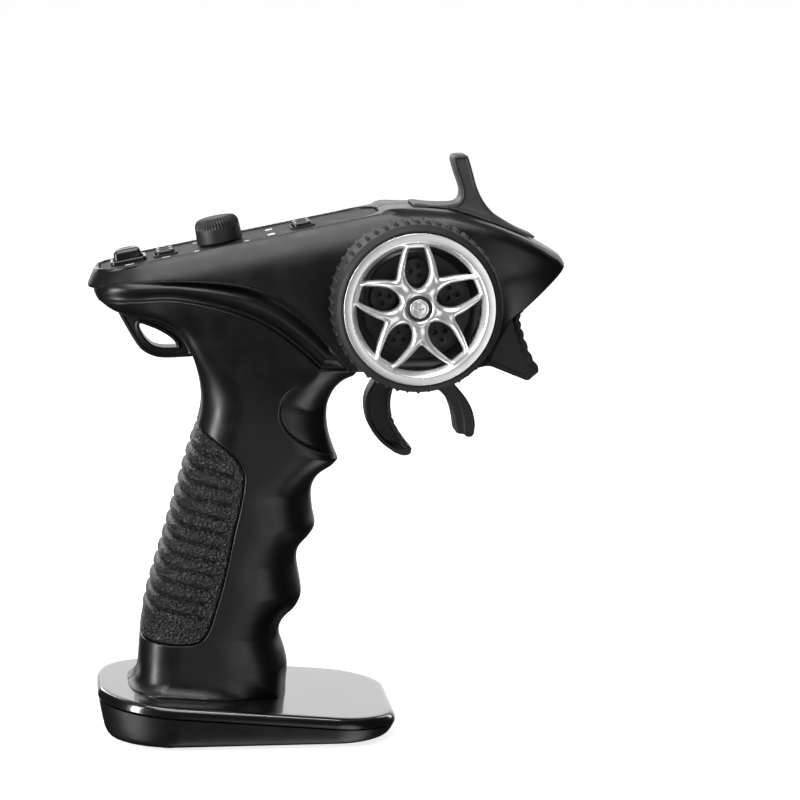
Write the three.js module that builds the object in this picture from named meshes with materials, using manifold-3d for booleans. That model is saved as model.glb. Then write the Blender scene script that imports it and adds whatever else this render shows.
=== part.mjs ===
// Pistol-grip radio transmitter, in millimetres.
// +X is the way the pistol points, +Z is up, and the steering wheel is on the -Y side.
// Every piece is drawn with the grip's middle plane at y = 0; the last group centres the whole object.

import * as THREE from 'three';
import { mergeVertices } from 'three/addons/utils/BufferGeometryUtils.js';
import Module from 'manifold-3d';

const wasm = await Module();
wasm.setup();

// ---------- Driving dimensions ----------

const GAP = 0.3;            // clearance between neighbouring pieces
const WALL = 2.3;           // moulded wall of the shells
const CENTRE_SHIFT = 10;    // moves the middle of the whole width to y = 0

const HEAD_HALF_WIDTH = 24.5;
const NECK_HALF_WIDTH = 19;

const PANEL = {
  origin: [-40, 0, 150.2], slope: 0.195, rear: -29.4, front: 56.6, halfWidth: 15, corner: 11, thick: 1.8,
};
const LEDGE = 3.9;          // depth of the ledge that carries the panel

const BASE = { rear: -72, front: 20.2, halfWidth: 33, rearCorner: 25, frontCorner: 20 };
const PLATE_REAR_Z = 14.5;  // height of the top plate at PLATE_REAR_X
const PLATE_REAR_X = -53.3;
const PLATE_SLOPE = -0.0906;
const COVER_EDGE = 3.1;     // height of the top cover's edge
const FOOT = { height: 0.8, radius: 4.5, x: [-50, 4], y: 22 };

const WHEEL = { x: 23.4, z: 137, face: -53, back: -31, rim: 22.4, tyre: 25, lugs: 50 };
const SHAFT_RADIUS = 3;
const TRIGGER = { x: 27, z: 124, halfWidth: 6, axle: 1.6 };

const BATTERY = { radius: 7, length: 50.5, spacing: 7.25, lean: 0.194, foot: [-40.2, 8] };
const SHELL_SCREWS = [[-55, 134.6], [48, 147], [-24, 112], [-30, 70]];
const POST_RADIUS = 4;
const SCREW_SEAT = 11;

// ---------- Finishes ----------

const FINISH = {
  shell: [0x17181a, 0.48, 0],
  panel: [0x3a3c3e, 0.6, 0],
  gloss: [0x0c0c0d, 0.12, 0],
  guard: [0x1b1c1e, 0.7, 0],
  rubber: [0x202123, 0.85, 0],
  silver: [0xd8dadc, 0.25, 0.9],
  steel: [0xa8abae, 0.35, 1],
  brass: [0xb9994f, 0.4, 1],
  board: [0x14532d, 0.5, 0],
  lamp: [0xf2f4f2, 0.3, 0],
  cell: [0x2f5f8a, 0.4, 0.3],
};

// ---------- Solids ----------

const solidOf = (geometry) => {
  const bare = geometry.clone();
  bare.deleteAttribute('normal');
  bare.deleteAttribute('uv');
  const merged = mergeVertices(bare, 1e-4);
  return new wasm.Manifold(new wasm.Mesh({
    numProp: 3,
    vertProperties: new Float32Array(merged.attributes.position.array),
    triVerts: new Uint32Array(merged.index.array),
  }));
};

const geometryOf = (solid) => {
  const mesh = solid.getMesh();
  const geometry = new THREE.BufferGeometry();
  geometry.setAttribute('position', new THREE.BufferAttribute(new Float32Array(mesh.vertProperties), 3));
  geometry.setIndex(new THREE.BufferAttribute(new Uint32Array(mesh.triVerts), 1));
  geometry.computeVertexNormals();
  return geometry;
};

const cut = (solid, tools) => tools.reduce((rest, tool) => rest.subtract(tool), solid);

const shapeOf = (points) => new THREE.Shape(points.map(([a, b]) => new THREE.Vector2(a, b)));

// An outline in x and z, swept along y from low to high, with holes right through it.
const sweepY = (points, low, high, holes = []) => {
  const geometry = new THREE.ExtrudeGeometry(shapeOf(points), { depth: high - low, bevelEnabled: false });
  const solid = solidOf(geometry.rotateX(Math.PI / 2).translate(0, high, 0));
  return cut(solid, holes.map((hole) => sweepY(hole, low - 1, high + 1)));
};

// An outline in x and y, swept along z from low to high, with holes right through it.
const sweepZ = (points, low, high, holes = []) => {
  const geometry = new THREE.ExtrudeGeometry(shapeOf(points), { depth: high - low, bevelEnabled: false });
  const solid = solidOf(geometry.translate(0, 0, low));
  return cut(solid, holes.map((hole) => sweepZ(hole, low - 1, high + 1)));
};

const box = (x, y, z) => {
  const geometry = new THREE.BoxGeometry(x[1] - x[0], y[1] - y[0], z[1] - z[0]);
  return solidOf(geometry.translate((x[0] + x[1]) / 2, (y[0] + y[1]) / 2, (z[0] + z[1]) / 2));
};

const rodY = (x, z, radius, low, high, sides = 12) => {
  const geometry = new THREE.CylinderGeometry(radius, radius, high - low, sides);
  return solidOf(geometry.translate(x, (low + high) / 2, z));
};

const rodZ = (x, y, radius, low, high, sides = 12) => {
  const geometry = new THREE.CylinderGeometry(radius, radius, high - low, sides);
  return solidOf(geometry.rotateX(Math.PI / 2).translate(x, y, (low + high) / 2));
};

// A lathe about the y axis through (x, z); the profile holds [radius, y] pairs.
const turnedY = (x, z, profile, sides = 32) => {
  const points = profile.map(([radius, y]) => new THREE.Vector2(radius, y));
  return solidOf(new THREE.LatheGeometry(points, sides).translate(x, 0, z));
};

const turnedZ = (profile, sides = 24) => {
  const points = profile.map(([radius, z]) => new THREE.Vector2(radius, z));
  return solidOf(new THREE.LatheGeometry(points, sides).rotateX(Math.PI / 2));
};

const joined = (solids) => solids.reduce((all, solid) => all.add(solid));

// Moves each edge of a closed outline inwards by a distance; the outline runs anticlockwise.
const inset = (points, distance) => points.map((point, i) => {
  const before = points[(i + points.length - 1) % points.length];
  const after = points[(i + 1) % points.length];
  const normal = (a, b) => {
    const length = Math.hypot(b[0] - a[0], b[1] - a[1]);
    return [-(b[1] - a[1]) / length, (b[0] - a[0]) / length];
  };
  const n = normal(before, point);
  const m = normal(point, after);
  const scale = distance / (1 + n[0] * m[0] + n[1] * m[1]);
  return [point[0] + (n[0] + m[0]) * scale, point[1] + (n[1] + m[1]) * scale];
});

// Smooth value at a position, through a short list of [position, value] pairs.
const through = (pairs) => {
  const curve = new THREE.CatmullRomCurve3(pairs.map(([at, value]) => new THREE.Vector3(at, value, 0)),
    false, 'centripetal');
  const samples = curve.getPoints(pairs.length * 12);
  return (at) => {
    const next = samples.findIndex((sample) => sample.x >= at);
    if (next <= 0) return next === 0 ? samples[0].y : samples[samples.length - 1].y;
    const a = samples[next - 1];
    const b = samples[next];
    return a.y + (b.y - a.y) * (at - a.x) / (b.x - a.x);
  };
};

// A rounded rectangle; the two corner radii are those of the low and high ends of its first axis.
const rounded = (low, high, halfWidth, lowCorner, highCorner, steps = 7) => {
  const points = [];
  const corner = (cx, cy, radius, start) => {
    for (let i = 0; i <= steps; i += 1) {
      const angle = start + (Math.PI / 2) * (i / steps);
      points.push([cx + radius * Math.cos(angle), cy + radius * Math.sin(angle)]);
    }
  };
  corner(low + lowCorner, -halfWidth + lowCorner, lowCorner, Math.PI);
  corner(high - highCorner, -halfWidth + highCorner, highCorner, 1.5 * Math.PI);
  corner(high - highCorner, halfWidth - highCorner, highCorner, 0);
  corner(low + lowCorner, halfWidth - lowCorner, lowCorner, 0.5 * Math.PI);
  return points;
};

const circle = (x, y, radius, sides = 20) => Array.from({ length: sides }, (_, i) => {
  const angle = (2 * Math.PI * i) / sides;
  return [x + radius * Math.cos(angle), y + radius * Math.sin(angle)];
});

const rectangle = (x, y, width, height) => [
  [x - width / 2, y - height / 2], [x + width / 2, y - height / 2],
  [x + width / 2, y + height / 2], [x - width / 2, y + height / 2],
];

// ---------- Frames that other pieces share ----------

const panelAngle = Math.atan(PANEL.slope);
const panelMatrix = new THREE.Matrix4().makeTranslation(...PANEL.origin)
  .multiply(new THREE.Matrix4().makeRotationY(-panelAngle));
const onPanel = (solid) => solidOf(geometryOf(solid).applyMatrix4(panelMatrix));

const plateZ = (x) => PLATE_REAR_Z + PLATE_SLOPE * (x - PLATE_REAR_X);

// ---------- Grip and head volumes ----------

const gripBack = through([[0, -62.5], [10, -61.5], [17, -59.5], [26, -58.4], [34, -57.4], [45, -55.2], [84, -43.9],
  [93, -40.8], [102, -38.3], [109, -37.7], [118, -38.5]]);
const gripFront = through([[0, -6], [9, -9.5], [17, -12.9], [20, -12.6], [30, -15.7], [41.5, -8.1], [53, -9.7],
  [63.7, -3.8], [75, -4.9], [85, 3], [92, 0.9], [98, 0], [107, 2.1], [118, 8]]);
const gripHalfWidth = through([[0, 22], [8, 20], [17, 18.6], [30, 18], [62, 18], [85, 17], [98, 16.4], [108, 17],
  [118, 18.5]]);

const GRIP_ROUNDNESS = 0.75;  // exponent of the cross-section: 1 is an ellipse, lower is squarer

// The grip between two heights, grown outwards by a distance.
const gripSolid = (low, high, grow, around = 20, along = 13) => {
  const geometry = new THREE.CylinderGeometry(1, 1, 1, around, along);
  const place = geometry.attributes.position;
  for (let i = 0; i < place.count; i += 1) {
    const z = low + (place.getY(i) + 0.5) * (high - low);
    const c = place.getX(i);
    const s = place.getZ(i);
    const length = (gripFront(z) - gripBack(z)) / 2 + grow;
    const middle = (gripFront(z) + gripBack(z)) / 2;
    const power = (v) => Math.sign(v) * Math.abs(v) ** GRIP_ROUNDNESS;
    place.setXYZ(i, middle + length * power(c), -(gripHalfWidth(z) + grow) * power(s), z);
  }
  return solidOf(geometry);
};

const HEAD_OUTLINE = [
  [-73, 139.4], [-44, 139.6], [-30, 139], [-20.8, 136.8], [-12.8, 132.5], [-4.2, 124.5], [6, 114.5],
  [44, 114.5], [47, 128.4], [59.5, 131.4], [73, 145], [64, 152], [37, 162.4], [19, 163.2], [15, 161.3], [-69.5, 144.5],
];
const NECK_OUTLINE = [
  [-71.5, 143.3], [-70.4, 135.9], [-64.4, 132.3], [-51.2, 129.3], [-45.1, 126.5], [-41.5, 121.3], [-38.5, 112],
  [-37.7, 104], [2, 104], [4.4, 109.9], [7.5, 111.4], [12, 122], [6, 150], [-20, 150], [-44, 147.5],
];

// Half-widths of the head at depths below the panel's plane.
const headSection = (grow) => {
  const side = [[16.6, 6], [16.6, 0], [21, -6], [HEAD_HALF_WIDTH, -28], [HEAD_HALF_WIDTH, -70]]
    .map(([y, z]) => [y + grow, z]);
  return [...side.map(([y, z]) => [y, z]).reverse(), ...side.map(([y, z]) => [-y, z])];
};

// The head's section swept along the panel's slope.
const headPrism = (grow) => {
  const geometry = new THREE.ExtrudeGeometry(shapeOf(headSection(grow)), { depth: 160, bevelEnabled: false });
  const place = geometry.attributes.position;
  for (let i = 0; i < place.count; i += 1) {
    const x = place.getZ(i) - 80;
    const top = PANEL.origin[2] + PANEL.slope * (x - PANEL.origin[0]);
    place.setXYZ(i, x, place.getX(i), place.getY(i) + top);
  }
  return solidOf(geometry);
};

const headPlan = (grow) => inset([
  [-73, -6], [-70, -14], [-62, -20.5], [-50, -HEAD_HALF_WIDTH], [44, -HEAD_HALF_WIDTH], [60, -18], [70, -12],
  [73, -8], [73, 8], [70, 12], [60, 18], [44, HEAD_HALF_WIDTH], [-50, HEAD_HALF_WIDTH], [-62, 20.5], [-70, 14],
  [-73, 6],
], -grow);

const headSolid = (grow) => sweepY(inset(HEAD_OUTLINE, -grow), -40, 40)
  .intersect(headPrism(grow))
  .intersect(sweepZ(headPlan(grow), 90, 200));

const neckSolid = (grow) => sweepY(inset(NECK_OUTLINE, -grow), -NECK_HALF_WIDTH - grow, NECK_HALF_WIDTH + grow)
  .intersect(headPrism(grow))
  .intersect(sweepZ(headPlan(grow), 90, 200));

const GRIP_TOP = 112;
const GRIP_FOOT = 5.5;

const casingVolume = joined([headSolid(0), neckSolid(0), gripSolid(GRIP_FOOT, GRIP_TOP, 0)]);

const casingCavity = () => {
  const underLedge = onPanel(box([-60, 140], [-60, 60], [-150, -LEDGE]));
  const head = headSolid(-WALL).intersect(underLedge);
  return joined([head, neckSolid(-WALL), gripSolid(GRIP_FOOT - 5, GRIP_TOP + 3, -WALL)]);
};

// ---------- Grip pad ----------

const PAD_OUTLINE = [
  [-70, 30.5], [-47, 29.7], [-41, 30.2], [-37.5, 33.5], [-34.5, 40], [-32.1, 46], [-27.4, 71], [-26.8, 80],
  [-28.2, 85], [-31.5, 89.5], [-36.5, 93.6], [-41, 97], [-60, 101],
];
const PAD_DEPTH = 1.3;
const PAD_PROUD = 0.5;

const padZone = (grow) => sweepY(inset(PAD_OUTLINE, -grow), -40, 40);
const padSolid = () => gripSolid(20, 108, PAD_PROUD).subtract(gripSolid(18, 110, -PAD_DEPTH)).intersect(padZone(0));
const padRecess = () => gripSolid(20, 108, 2).subtract(gripSolid(18, 110, -PAD_DEPTH - GAP))
  .intersect(padZone(GAP));

// ---------- Shell halves ----------

const panelOutline = (grow) => rounded(PANEL.rear - grow, PANEL.front + grow, PANEL.halfWidth + grow,
  PANEL.corner + grow, PANEL.corner + grow);

const shellCuts = () => [
  padRecess(),
  onPanel(sweepZ(panelOutline(GAP), -PANEL.thick - GAP, 6)),
  onPanel(sweepZ(panelOutline(-2.5), -LEDGE - 3, 0)),
  box([10, 45], [-8, 8], [110, 119]),
  rodZ(44, 0, 2.5, 150, 170),
  rodY(WHEEL.x, WHEEL.z, 5.7, -40, -15),
];

const axleBosses = () => joined([[-30, -12], [16, 30]]
  .map(([low, high]) => rodY(TRIGGER.x, TRIGGER.z, 3.6, low, high)));
const axleSockets = () => rodY(TRIGGER.x, TRIGGER.z, TRIGGER.axle + 0.15, -19, 19);

const shellPosts = () => joined(SHELL_SCREWS.map(([x, z]) => rodY(x, z, POST_RADIUS, -30, 30)));
const postHoles = () => SHELL_SCREWS.flatMap(([x, z]) => [
  rodY(x, z, 1.5, -9, SCREW_SEAT + 1),
  rodY(x, z, 3, SCREW_SEAT, 40),
]);

const shellPair = () => {
  const hollow = cut(casingVolume.subtract(casingCavity()), shellCuts());
  const fittings = shellPosts().add(axleBosses()).intersect(casingVolume).subtract(padRecess());
  const whole = cut(hollow.add(fittings), [...postHoles(), axleSockets()]);
  const reach = [[-100, 100], [-10, 200]];
  return {
    right: whole.intersect(box(reach[0], [-60, -GAP / 2], reach[1])),
    left: whole.intersect(box(reach[0], [GAP / 2, 60], reach[1])),
  };
};

const shellScrew = ([x, z]) => rodY(x, z, 1.2, -8.5, SCREW_SEAT + 1).add(
  cut(rodY(x, z, 2.6, SCREW_SEAT + GAP, SCREW_SEAT + 2.4), [
    box([x - 1.7, x + 1.7], [SCREW_SEAT + 1.4, SCREW_SEAT + 3], [z - 0.35, z + 0.35]),
    box([x - 0.35, x + 0.35], [SCREW_SEAT + 1.4, SCREW_SEAT + 3], [z - 1.7, z + 1.7]),
  ]),
);

// ---------- Head trim: fin, front guard, lanyard loop ----------

const FIN_OUTLINE = [
  [26.4, 163.4], [37.4, 162.8], [63, 153], [63.8, 153.2], [55.5, 157.6], [51.2, 160.4], [48.3, 164.2],
  [46.3, 168.5], [43.9, 176.8], [42.4, 178.2], [40, 178.2], [38.7, 176.6], [40.8, 169.6], [41.4, 167], [40.7, 165],
  [38.8, 164.2], [26.6, 164.2],
];
const FIN_SADDLE = [[26.4, 163.4], [37.4, 162.8], [62.5, 153.2], [61, 154.8], [49, 159.8], [38.5, 163.9], [26.6, 164.2]];
const FIN_CORE = [[39, 155], [53, 155], [50.2, 158.8], [46.8, 163.4], [44.9, 168.4], [42.8, 175.8], [40.4, 176],
  [42.3, 169.8], [42.7, 166.5], [42, 163.6]];

const antennaCover = () => sweepY(FIN_OUTLINE, -5.5, 5.5).add(sweepY(FIN_SADDLE, -10, 10))
  .subtract(sweepY(FIN_CORE, -3.8, 3.8));

const SERRATIONS = 7;
const guardFront = () => {
  const curve = new THREE.QuadraticBezierCurve(
    new THREE.Vector2(66.2, 111.6), new THREE.Vector2(58, 121), new THREE.Vector2(58.8, 130.6),
  );
  const count = SERRATIONS * 4;
  return curve.getPoints(count).map((point, i) => {
    const ridge = 0.8 * Math.sin((Math.PI * 2 * SERRATIONS * i) / count - Math.PI / 2);
    return [point.x + ridge, point.y + ridge * 0.3];
  });
};
const frontGuard = () => {
  const outline = [[44.4, 114.3], [50, 113], [63, 107.3], ...guardFront(), [47.4, 128]];
  const hollow = [[46.5, 116.2], [50.4, 115], [60, 111.4], [57, 118], [56.3, 124], [56.6, 134], [48.6, 134]];
  return sweepY(outline, -16, 16).subtract(sweepY(hollow, -14, 14));
};

const LOOP_OUTLINE = [
  [-64.1, 131.7], [-59.1, 122.5], [-56.7, 119.3], [-53.6, 117.4], [-50.5, 116.9], [-40.7, 117.1], [-42, 121],
  [-45.5, 126.1], [-51.4, 128.8],
];
const LOOP_HOLE = [
  [-57.5, 127.2], [-57.3, 125.6], [-55.6, 122.8], [-53.3, 120.7], [-50.4, 119.8], [-46.2, 119.8], [-46.2, 121.2],
  [-47.6, 123], [-51, 125.3], [-54.4, 126.9],
];
const lanyardLoop = () => sweepY(LOOP_OUTLINE, -5, 5, [LOOP_HOLE]);

// ---------- Base ----------

const baseOutline = (grow) => rounded(BASE.rear - grow, BASE.front + grow, BASE.halfWidth + grow,
  BASE.rearCorner + grow, BASE.frontCorner + grow, 6);

const slab = (high, low) => sweepY([[-90, low(-90)], [40, low(40)], [40, high(40)], [-90, high(-90)]], -50, 50);

const baseCover = () => {
  const edge = sweepZ(baseOutline(-0.4), 0, 30).intersect(slab(plateZ, (x) => plateZ(x) - COVER_EDGE));
  const under = sweepZ(baseOutline(-2.6), 0, 30).intersect(slab((x) => plateZ(x) - 1.9, () => 0));
  const plate = edge.subtract(under);
  const posts = joined(FOOT.x.flatMap((x) => [-1, 1].map((side) => rodZ(x, side * FOOT.y, 3.2, 4.2, 20))));
  const postsUnderPlate = posts.intersect(slab((x) => plateZ(x) - 1, () => 0));
  const bores = FOOT.x.flatMap((x) => [-1, 1].map((side) => rodZ(x, side * FOOT.y, 1.3, 0, 7.4)));
  return cut(plate.add(postsUnderPlate), [...bores, gripSolid(2, 25, GAP)]);
};

// The tray's wall leans inwards towards its foot.
const traySolid = (grow, low, lift) => {
  const steps = 3;
  const geometry = new THREE.ExtrudeGeometry(shapeOf(baseOutline(grow)), { depth: 1, steps, bevelEnabled: false });
  const place = geometry.attributes.position;
  const middle = (BASE.rear + BASE.front) / 2;
  for (let i = 0; i < place.count; i += 1) {
    const t = place.getZ(i);
    const x = place.getX(i);
    const lean = 4.6 * (1 - t) ** 2.2;
    const top = plateZ(x) - COVER_EDGE - GAP + lift;
    place.setXYZ(i, middle + (x - middle) * (1 - lean / 46), place.getY(i) * (1 - lean / 33), low + t * (top - low));
  }
  return solidOf(geometry);
};

const DOOR = { x: [-64, -24], halfWidth: 17, thick: 1.8 };
const doorZone = (grow) => box([-90, DOOR.x[1] + grow], [-DOOR.halfWidth - grow, DOOR.halfWidth + grow],
  [-5, FOOT.height + DOOR.thick + grow]);

const baseTray = () => {
  const walls = traySolid(0, FOOT.height, 0).subtract(traySolid(-2.2, FOOT.height + 1.9, 3));
  const screwHoles = FOOT.x.flatMap((x) => [-1, 1].flatMap((side) => [
    rodZ(x, side * FOOT.y, 1.5, 0, 6),
    rodZ(x, side * FOOT.y, 3, 0, FOOT.height + 1.1),
  ]));
  const batteryPort = box([-58, DOOR.x[1] - 2], [-DOOR.halfWidth + 2, DOOR.halfWidth - 2], [0, 8]);
  return cut(walls, [...screwHoles, doorZone(GAP), batteryPort]);
};

const batteryDoor = () => {
  const plate = traySolid(0, FOOT.height, 0).intersect(doorZone(0));
  return plate.intersect(box([-71, 0], [-40, 40], [0, 20]));
};

const footPad = (x, y) => rodZ(x, y, FOOT.radius, 0, FOOT.height - 0.05);
const baseScrew = (x, y) => rodZ(x, y, 1.1, FOOT.height + 0.1, 7).add(
  rodZ(x, y, 2.6, FOOT.height + 0.1, FOOT.height + 0.9),
);

// ---------- Steering wheel ----------

const { x: wheelX, z: wheelZ } = WHEEL;

const ARM_ANGLES = Array.from({ length: 5 }, (_, i) => (93 + 72 * i) * (Math.PI / 180));
const polar = (radius, angle) => [wheelX + radius * Math.cos(angle), wheelZ + radius * Math.sin(angle)];

// The gap between two neighbouring arms, and the drop-shaped window in one arm.
const armGap = (angle) => {
  const middle = angle + Math.PI / 5;
  return [[11.6, 0], [15, -0.2], [18.1, -0.4], [18.6, -0.2], [18.8, 0], [18.6, 0.2], [18.1, 0.4], [15, 0.2]]
    .map(([radius, turn]) => polar(radius, middle + turn));
};
const armWindow = (angle) => [[6, 0], [7.6, -0.33], [10.6, -0.32], [17.6, -0.13], [17.6, 0.13], [10.6, 0.32],
  [7.6, 0.33]].map(([radius, turn]) => polar(radius, angle + turn));

const wheelRim = () => {
  const lip = turnedY(wheelX, wheelZ, [[18.3, -48.5], [18.3, -51.4], [19.7, WHEEL.face], [WHEEL.rim, WHEEL.face],
    [WHEEL.rim, WHEEL.back + 1], [20.8, WHEEL.back + 1], [20.4, -49.5], [18.3, -48.5]], 48);
  const arms = sweepY(circle(wheelX, wheelZ, 19.4, 48), -50.5, -47,
    [...ARM_ANGLES.map(armGap), ...ARM_ANGLES.map(armWindow), circle(wheelX, wheelZ, 1.7)]);
  return lip.add(arms);
};

const tyreOutline = () => Array.from({ length: WHEEL.lugs * 4 }, (_, i) => {
  const onLug = i % 4 === 0 || i % 4 === 1;
  const turn = [0, 0.34, 0.5, 0.84][i % 4] + Math.floor(i / 4);
  return polar(onLug ? WHEEL.tyre : WHEEL.tyre - 1, (2 * Math.PI * turn) / WHEEL.lugs);
});

const wheelTyre = () => {
  const bore = circle(wheelX, wheelZ, WHEEL.rim + GAP, 48);
  const tread = sweepY(tyreOutline(), WHEEL.face + 2.4, WHEEL.back, [bore]);
  const shoulder = sweepY(circle(wheelX, wheelZ, 23.8, 48), WHEEL.face + 0.4, WHEEL.face + 3, [bore]);
  return tread.add(shoulder);
};

const wheelHub = () => {
  const disc = turnedY(wheelX, wheelZ, [[0, -44], [16, -44], [16, -42.4], [7, -41.6], [5.6, -31], [0, -31]]);
  const bosses = ARM_ANGLES.map((angle) => rodY(...polar(10.6, angle), 3.8, -45.6, -43.5));
  return joined([disc, ...bosses]).subtract(rodY(wheelX, wheelZ, SHAFT_RADIUS + 0.1, -60, 0, 24));
};

const wheelScrew = () => joined([
  rodY(wheelX, wheelZ, 1.4, -50.9, -45),
  rodY(wheelX, wheelZ, 2.8, -52.2, -50.8),
]).subtract(box([wheelX - 1.7, wheelX + 1.7], [-53, -51.5], [wheelZ - 0.35, wheelZ + 0.35]));

const steeringShaft = () => rodY(wheelX, wheelZ, SHAFT_RADIUS, -44.7, 12, 24);
const steeringBush = () => turnedY(wheelX, wheelZ, [[SHAFT_RADIUS + 0.12, -28.5], [5.4, -28.5], [5.4, -20.1],
  [7, -20.1], [7, -18.6], [SHAFT_RADIUS + 0.12, -18.6], [SHAFT_RADIUS + 0.12, -28.5]], 24);
const wheelPod = () => turnedY(wheelX, wheelZ, [[5.8, -30], [12, -30], [14.5, -28], [14.5, -24.9], [5.8, -24.9],
  [5.8, -30]]);
const steeringLever = () => sweepY([[wheelX - 5, wheelZ - 3], [wheelX, wheelZ - 5], [wheelX + 5, wheelZ - 3],
  [wheelX + 4, wheelZ + 5], [wheelX + 2, wheelZ + 13], [wheelX - 2, wheelZ + 13], [wheelX - 4, wheelZ + 5]], 4, 6.5)
  .subtract(rodY(wheelX, wheelZ, SHAFT_RADIUS + 0.1, 0, 10, 24));
const steeringPot = () => box([wheelX - 6, wheelX + 6], [8, 14.6], [wheelZ - 6, wheelZ + 6])
  .subtract(rodY(wheelX, wheelZ, SHAFT_RADIUS + 0.3, 7, 12.6, 24));

// A coil spring about the y axis.
class Coil extends THREE.Curve {
  constructor(x, z, radius, low, high, turns) {
    super();
    Object.assign(this, { x, z, radius, low, high, turns });
  }

  getPoint(t, target = new THREE.Vector3()) {
    const angle = 2 * Math.PI * this.turns * t;
    return target.set(this.x + this.radius * Math.cos(angle), this.low + (this.high - this.low) * t,
      this.z + this.radius * Math.sin(angle));
  }
}

const coilSpring = (coil, wire) => solidOf(new THREE.ExtrudeGeometry(shapeOf(circle(0, 0, wire, 5)), {
  extrudePath: coil, steps: coil.turns * 10, bevelEnabled: false,
}));
const steeringSpring = () => coilSpring(new Coil(wheelX, wheelZ, 5.4, -15, -6, 4), 0.6);
const triggerSpring = () => coilSpring(new Coil(TRIGGER.x, TRIGGER.z, 3.4, 6.9, 10.4, 3), 0.35);

// ---------- Throttle trigger ----------

const spline = (points, count) => new THREE.SplineCurve(points.map(([a, b]) => new THREE.Vector2(a, b)))
  .getPoints(count).map((point) => [point.x, point.y]);

const throttleTrigger = () => {
  const { x, z } = TRIGGER;
  const outline = [
    ...spline([[24.6, 85.3], [26.1, 86.6], [23.9, 90.9], [20.8, 96.6], [20, 103], [22, 108.6], [26.8, 110.8],
      [31.4, 107.6], [36.7, 101], [39.6, 94], [41, 91.2]], 30),
    ...spline([[43.6, 90.2], [46.2, 92], [45.4, 98.4], [41, 105], [35.5, 111.5], [x + 5, z - 3]], 16),
    ...spline([[x + 4, z + 3.2], [x, z + 5], [x - 4, z + 3.2]], 6),
    ...spline([[x - 5.6, z - 6], [18.2, 110.6], [14.2, 104], [13.8, 98], [17.1, 91.3], [22, 86.9]], 16),
  ];
  const pocket = [[18, 104.5], [16.6, 102], [16.4, 98], [19, 93.2], [19.6, 93.8], [18.2, 98.6], [18.6, 104]];
  const pockets = [[-8, -3.5], [3.5, 8]].map(([low, high]) => sweepY(pocket, low, high));
  return cut(sweepY(outline, -TRIGGER.halfWidth, TRIGGER.halfWidth), [
    ...pockets, rodY(x, z, TRIGGER.axle + 0.12, -10, 10),
  ]);
};
const triggerAxle = () => rodY(TRIGGER.x, TRIGGER.z, TRIGGER.axle, -18.6, 18.6);
const triggerPot = () => box([TRIGGER.x - 5, TRIGGER.x + 5], [11.2, 14.6], [TRIGGER.z - 3.8, TRIGGER.z + 5])
  .subtract(rodY(TRIGGER.x, TRIGGER.z, TRIGGER.axle + 0.3, 10, 16));

// ---------- Electronics ----------

const mainBoard = () => box([-4, 41], [15, 16.6], [120, 146]).subtract(rodY(TRIGGER.x, TRIGGER.z, 4.2, 10, 20));
const radioModule = () => box([-2, 13], [12.2, 14.8], [125, 144]);
const antennaElement = () => sweepY([[43.8, 152], [45, 152], [44.3, 165], [43.8, 169], [42.1, 174.6], [41.4, 174.6],
  [42.9, 169], [43.3, 165]], -0.6, 0.6);

// ---------- Control panel pieces, drawn flat about the panel's own origin ----------

const POWER = { u: -20.6, size: 8.5, top: 4.3, travel: 1.5 };
const TRIMS = { u: [-9.3, 33.4], v: [-2.9, 2.9], length: 5.2, width: 4.2, top: 1.7 };
const DIAL = { u: 7.9, radius: 6.9, top: 8.1, shaft: 2.9 };
const LAMPS = { u: 23.4, v: [-6.5, 6.5], length: 2.2, width: 1.4 };

const trimPlaces = TRIMS.u.flatMap((u) => TRIMS.v.map((v) => [u, v]));
const lampPlaces = LAMPS.v.map((v) => [LAMPS.u, v]);

const controlPanel = () => sweepZ(panelOutline(0), -PANEL.thick, 0, [
  rectangle(POWER.u, 0, POWER.size + 0.8, POWER.size + 0.8),
  ...trimPlaces.map(([u, v]) => rectangle(u, v, TRIMS.length + 0.6, TRIMS.width + 0.6)),
  circle(DIAL.u, 0, DIAL.shaft + 0.5),
  ...lampPlaces.map(([u, v]) => rectangle(u, v, LAMPS.length + 0.4, LAMPS.width + 0.4)),
]);
const panelBoard = () => sweepZ(rounded(-25.5, 44, 10.5, 6, 4, 3), -7.6, -6);
const powerFrame = () => sweepZ(rounded(POWER.u - 5.4, POWER.u + 5.4, 5.4, 1.2, 1.2, 3), 0.1, 1.3,
  [rectangle(POWER.u, 0, POWER.size + 0.8, POWER.size + 0.8)]);
const powerButton = () => joined([
  sweepZ(rounded(POWER.u - 4.25, POWER.u + 4.25, 4.25, 1, 1, 3), -1.7, POWER.top - 1),
  sweepZ(rounded(POWER.u - 3.8, POWER.u + 3.8, 3.8, 1, 1, 3), POWER.top - 1.2, POWER.top),
  rodZ(POWER.u, 0, 1.5, -3, -1.5),
]);
const powerSwitch = () => box([POWER.u - 3.5, POWER.u + 3.5], [-3.5, 3.5], [-5.8, -4.7]);
const trimKey = (u, v) => box([u - TRIMS.length / 2, u + TRIMS.length / 2],
  [v - TRIMS.width / 2, v + TRIMS.width / 2], [-2.4, TRIMS.top]);
const trimSwitch = (u, v) => box([u - 2, u + 2], [v - 2, v + 2], [-5.8, -3.3]);
const lampWindow = (u, v) => box([u - LAMPS.length / 2, u + LAMPS.length / 2],
  [v - LAMPS.width / 2, v + LAMPS.width / 2], [-3, 0.2]);
const dialKnob = () => turnedZ([[0, -3], [DIAL.shaft, -3], [DIAL.shaft, 0.5], [DIAL.radius, 0.5],
  [DIAL.radius - 0.3, DIAL.top - 1.2], [DIAL.radius - 1.5, DIAL.top], [0, DIAL.top]])
  .translate([DIAL.u, 0, 0]);
const dialPot = () => box([DIAL.u - 5.5, DIAL.u + 5.5], [-5.5, 5.5], [-5.8, -3.4]);

// ---------- Batteries, drawn upright about the holder's foot ----------

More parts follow.
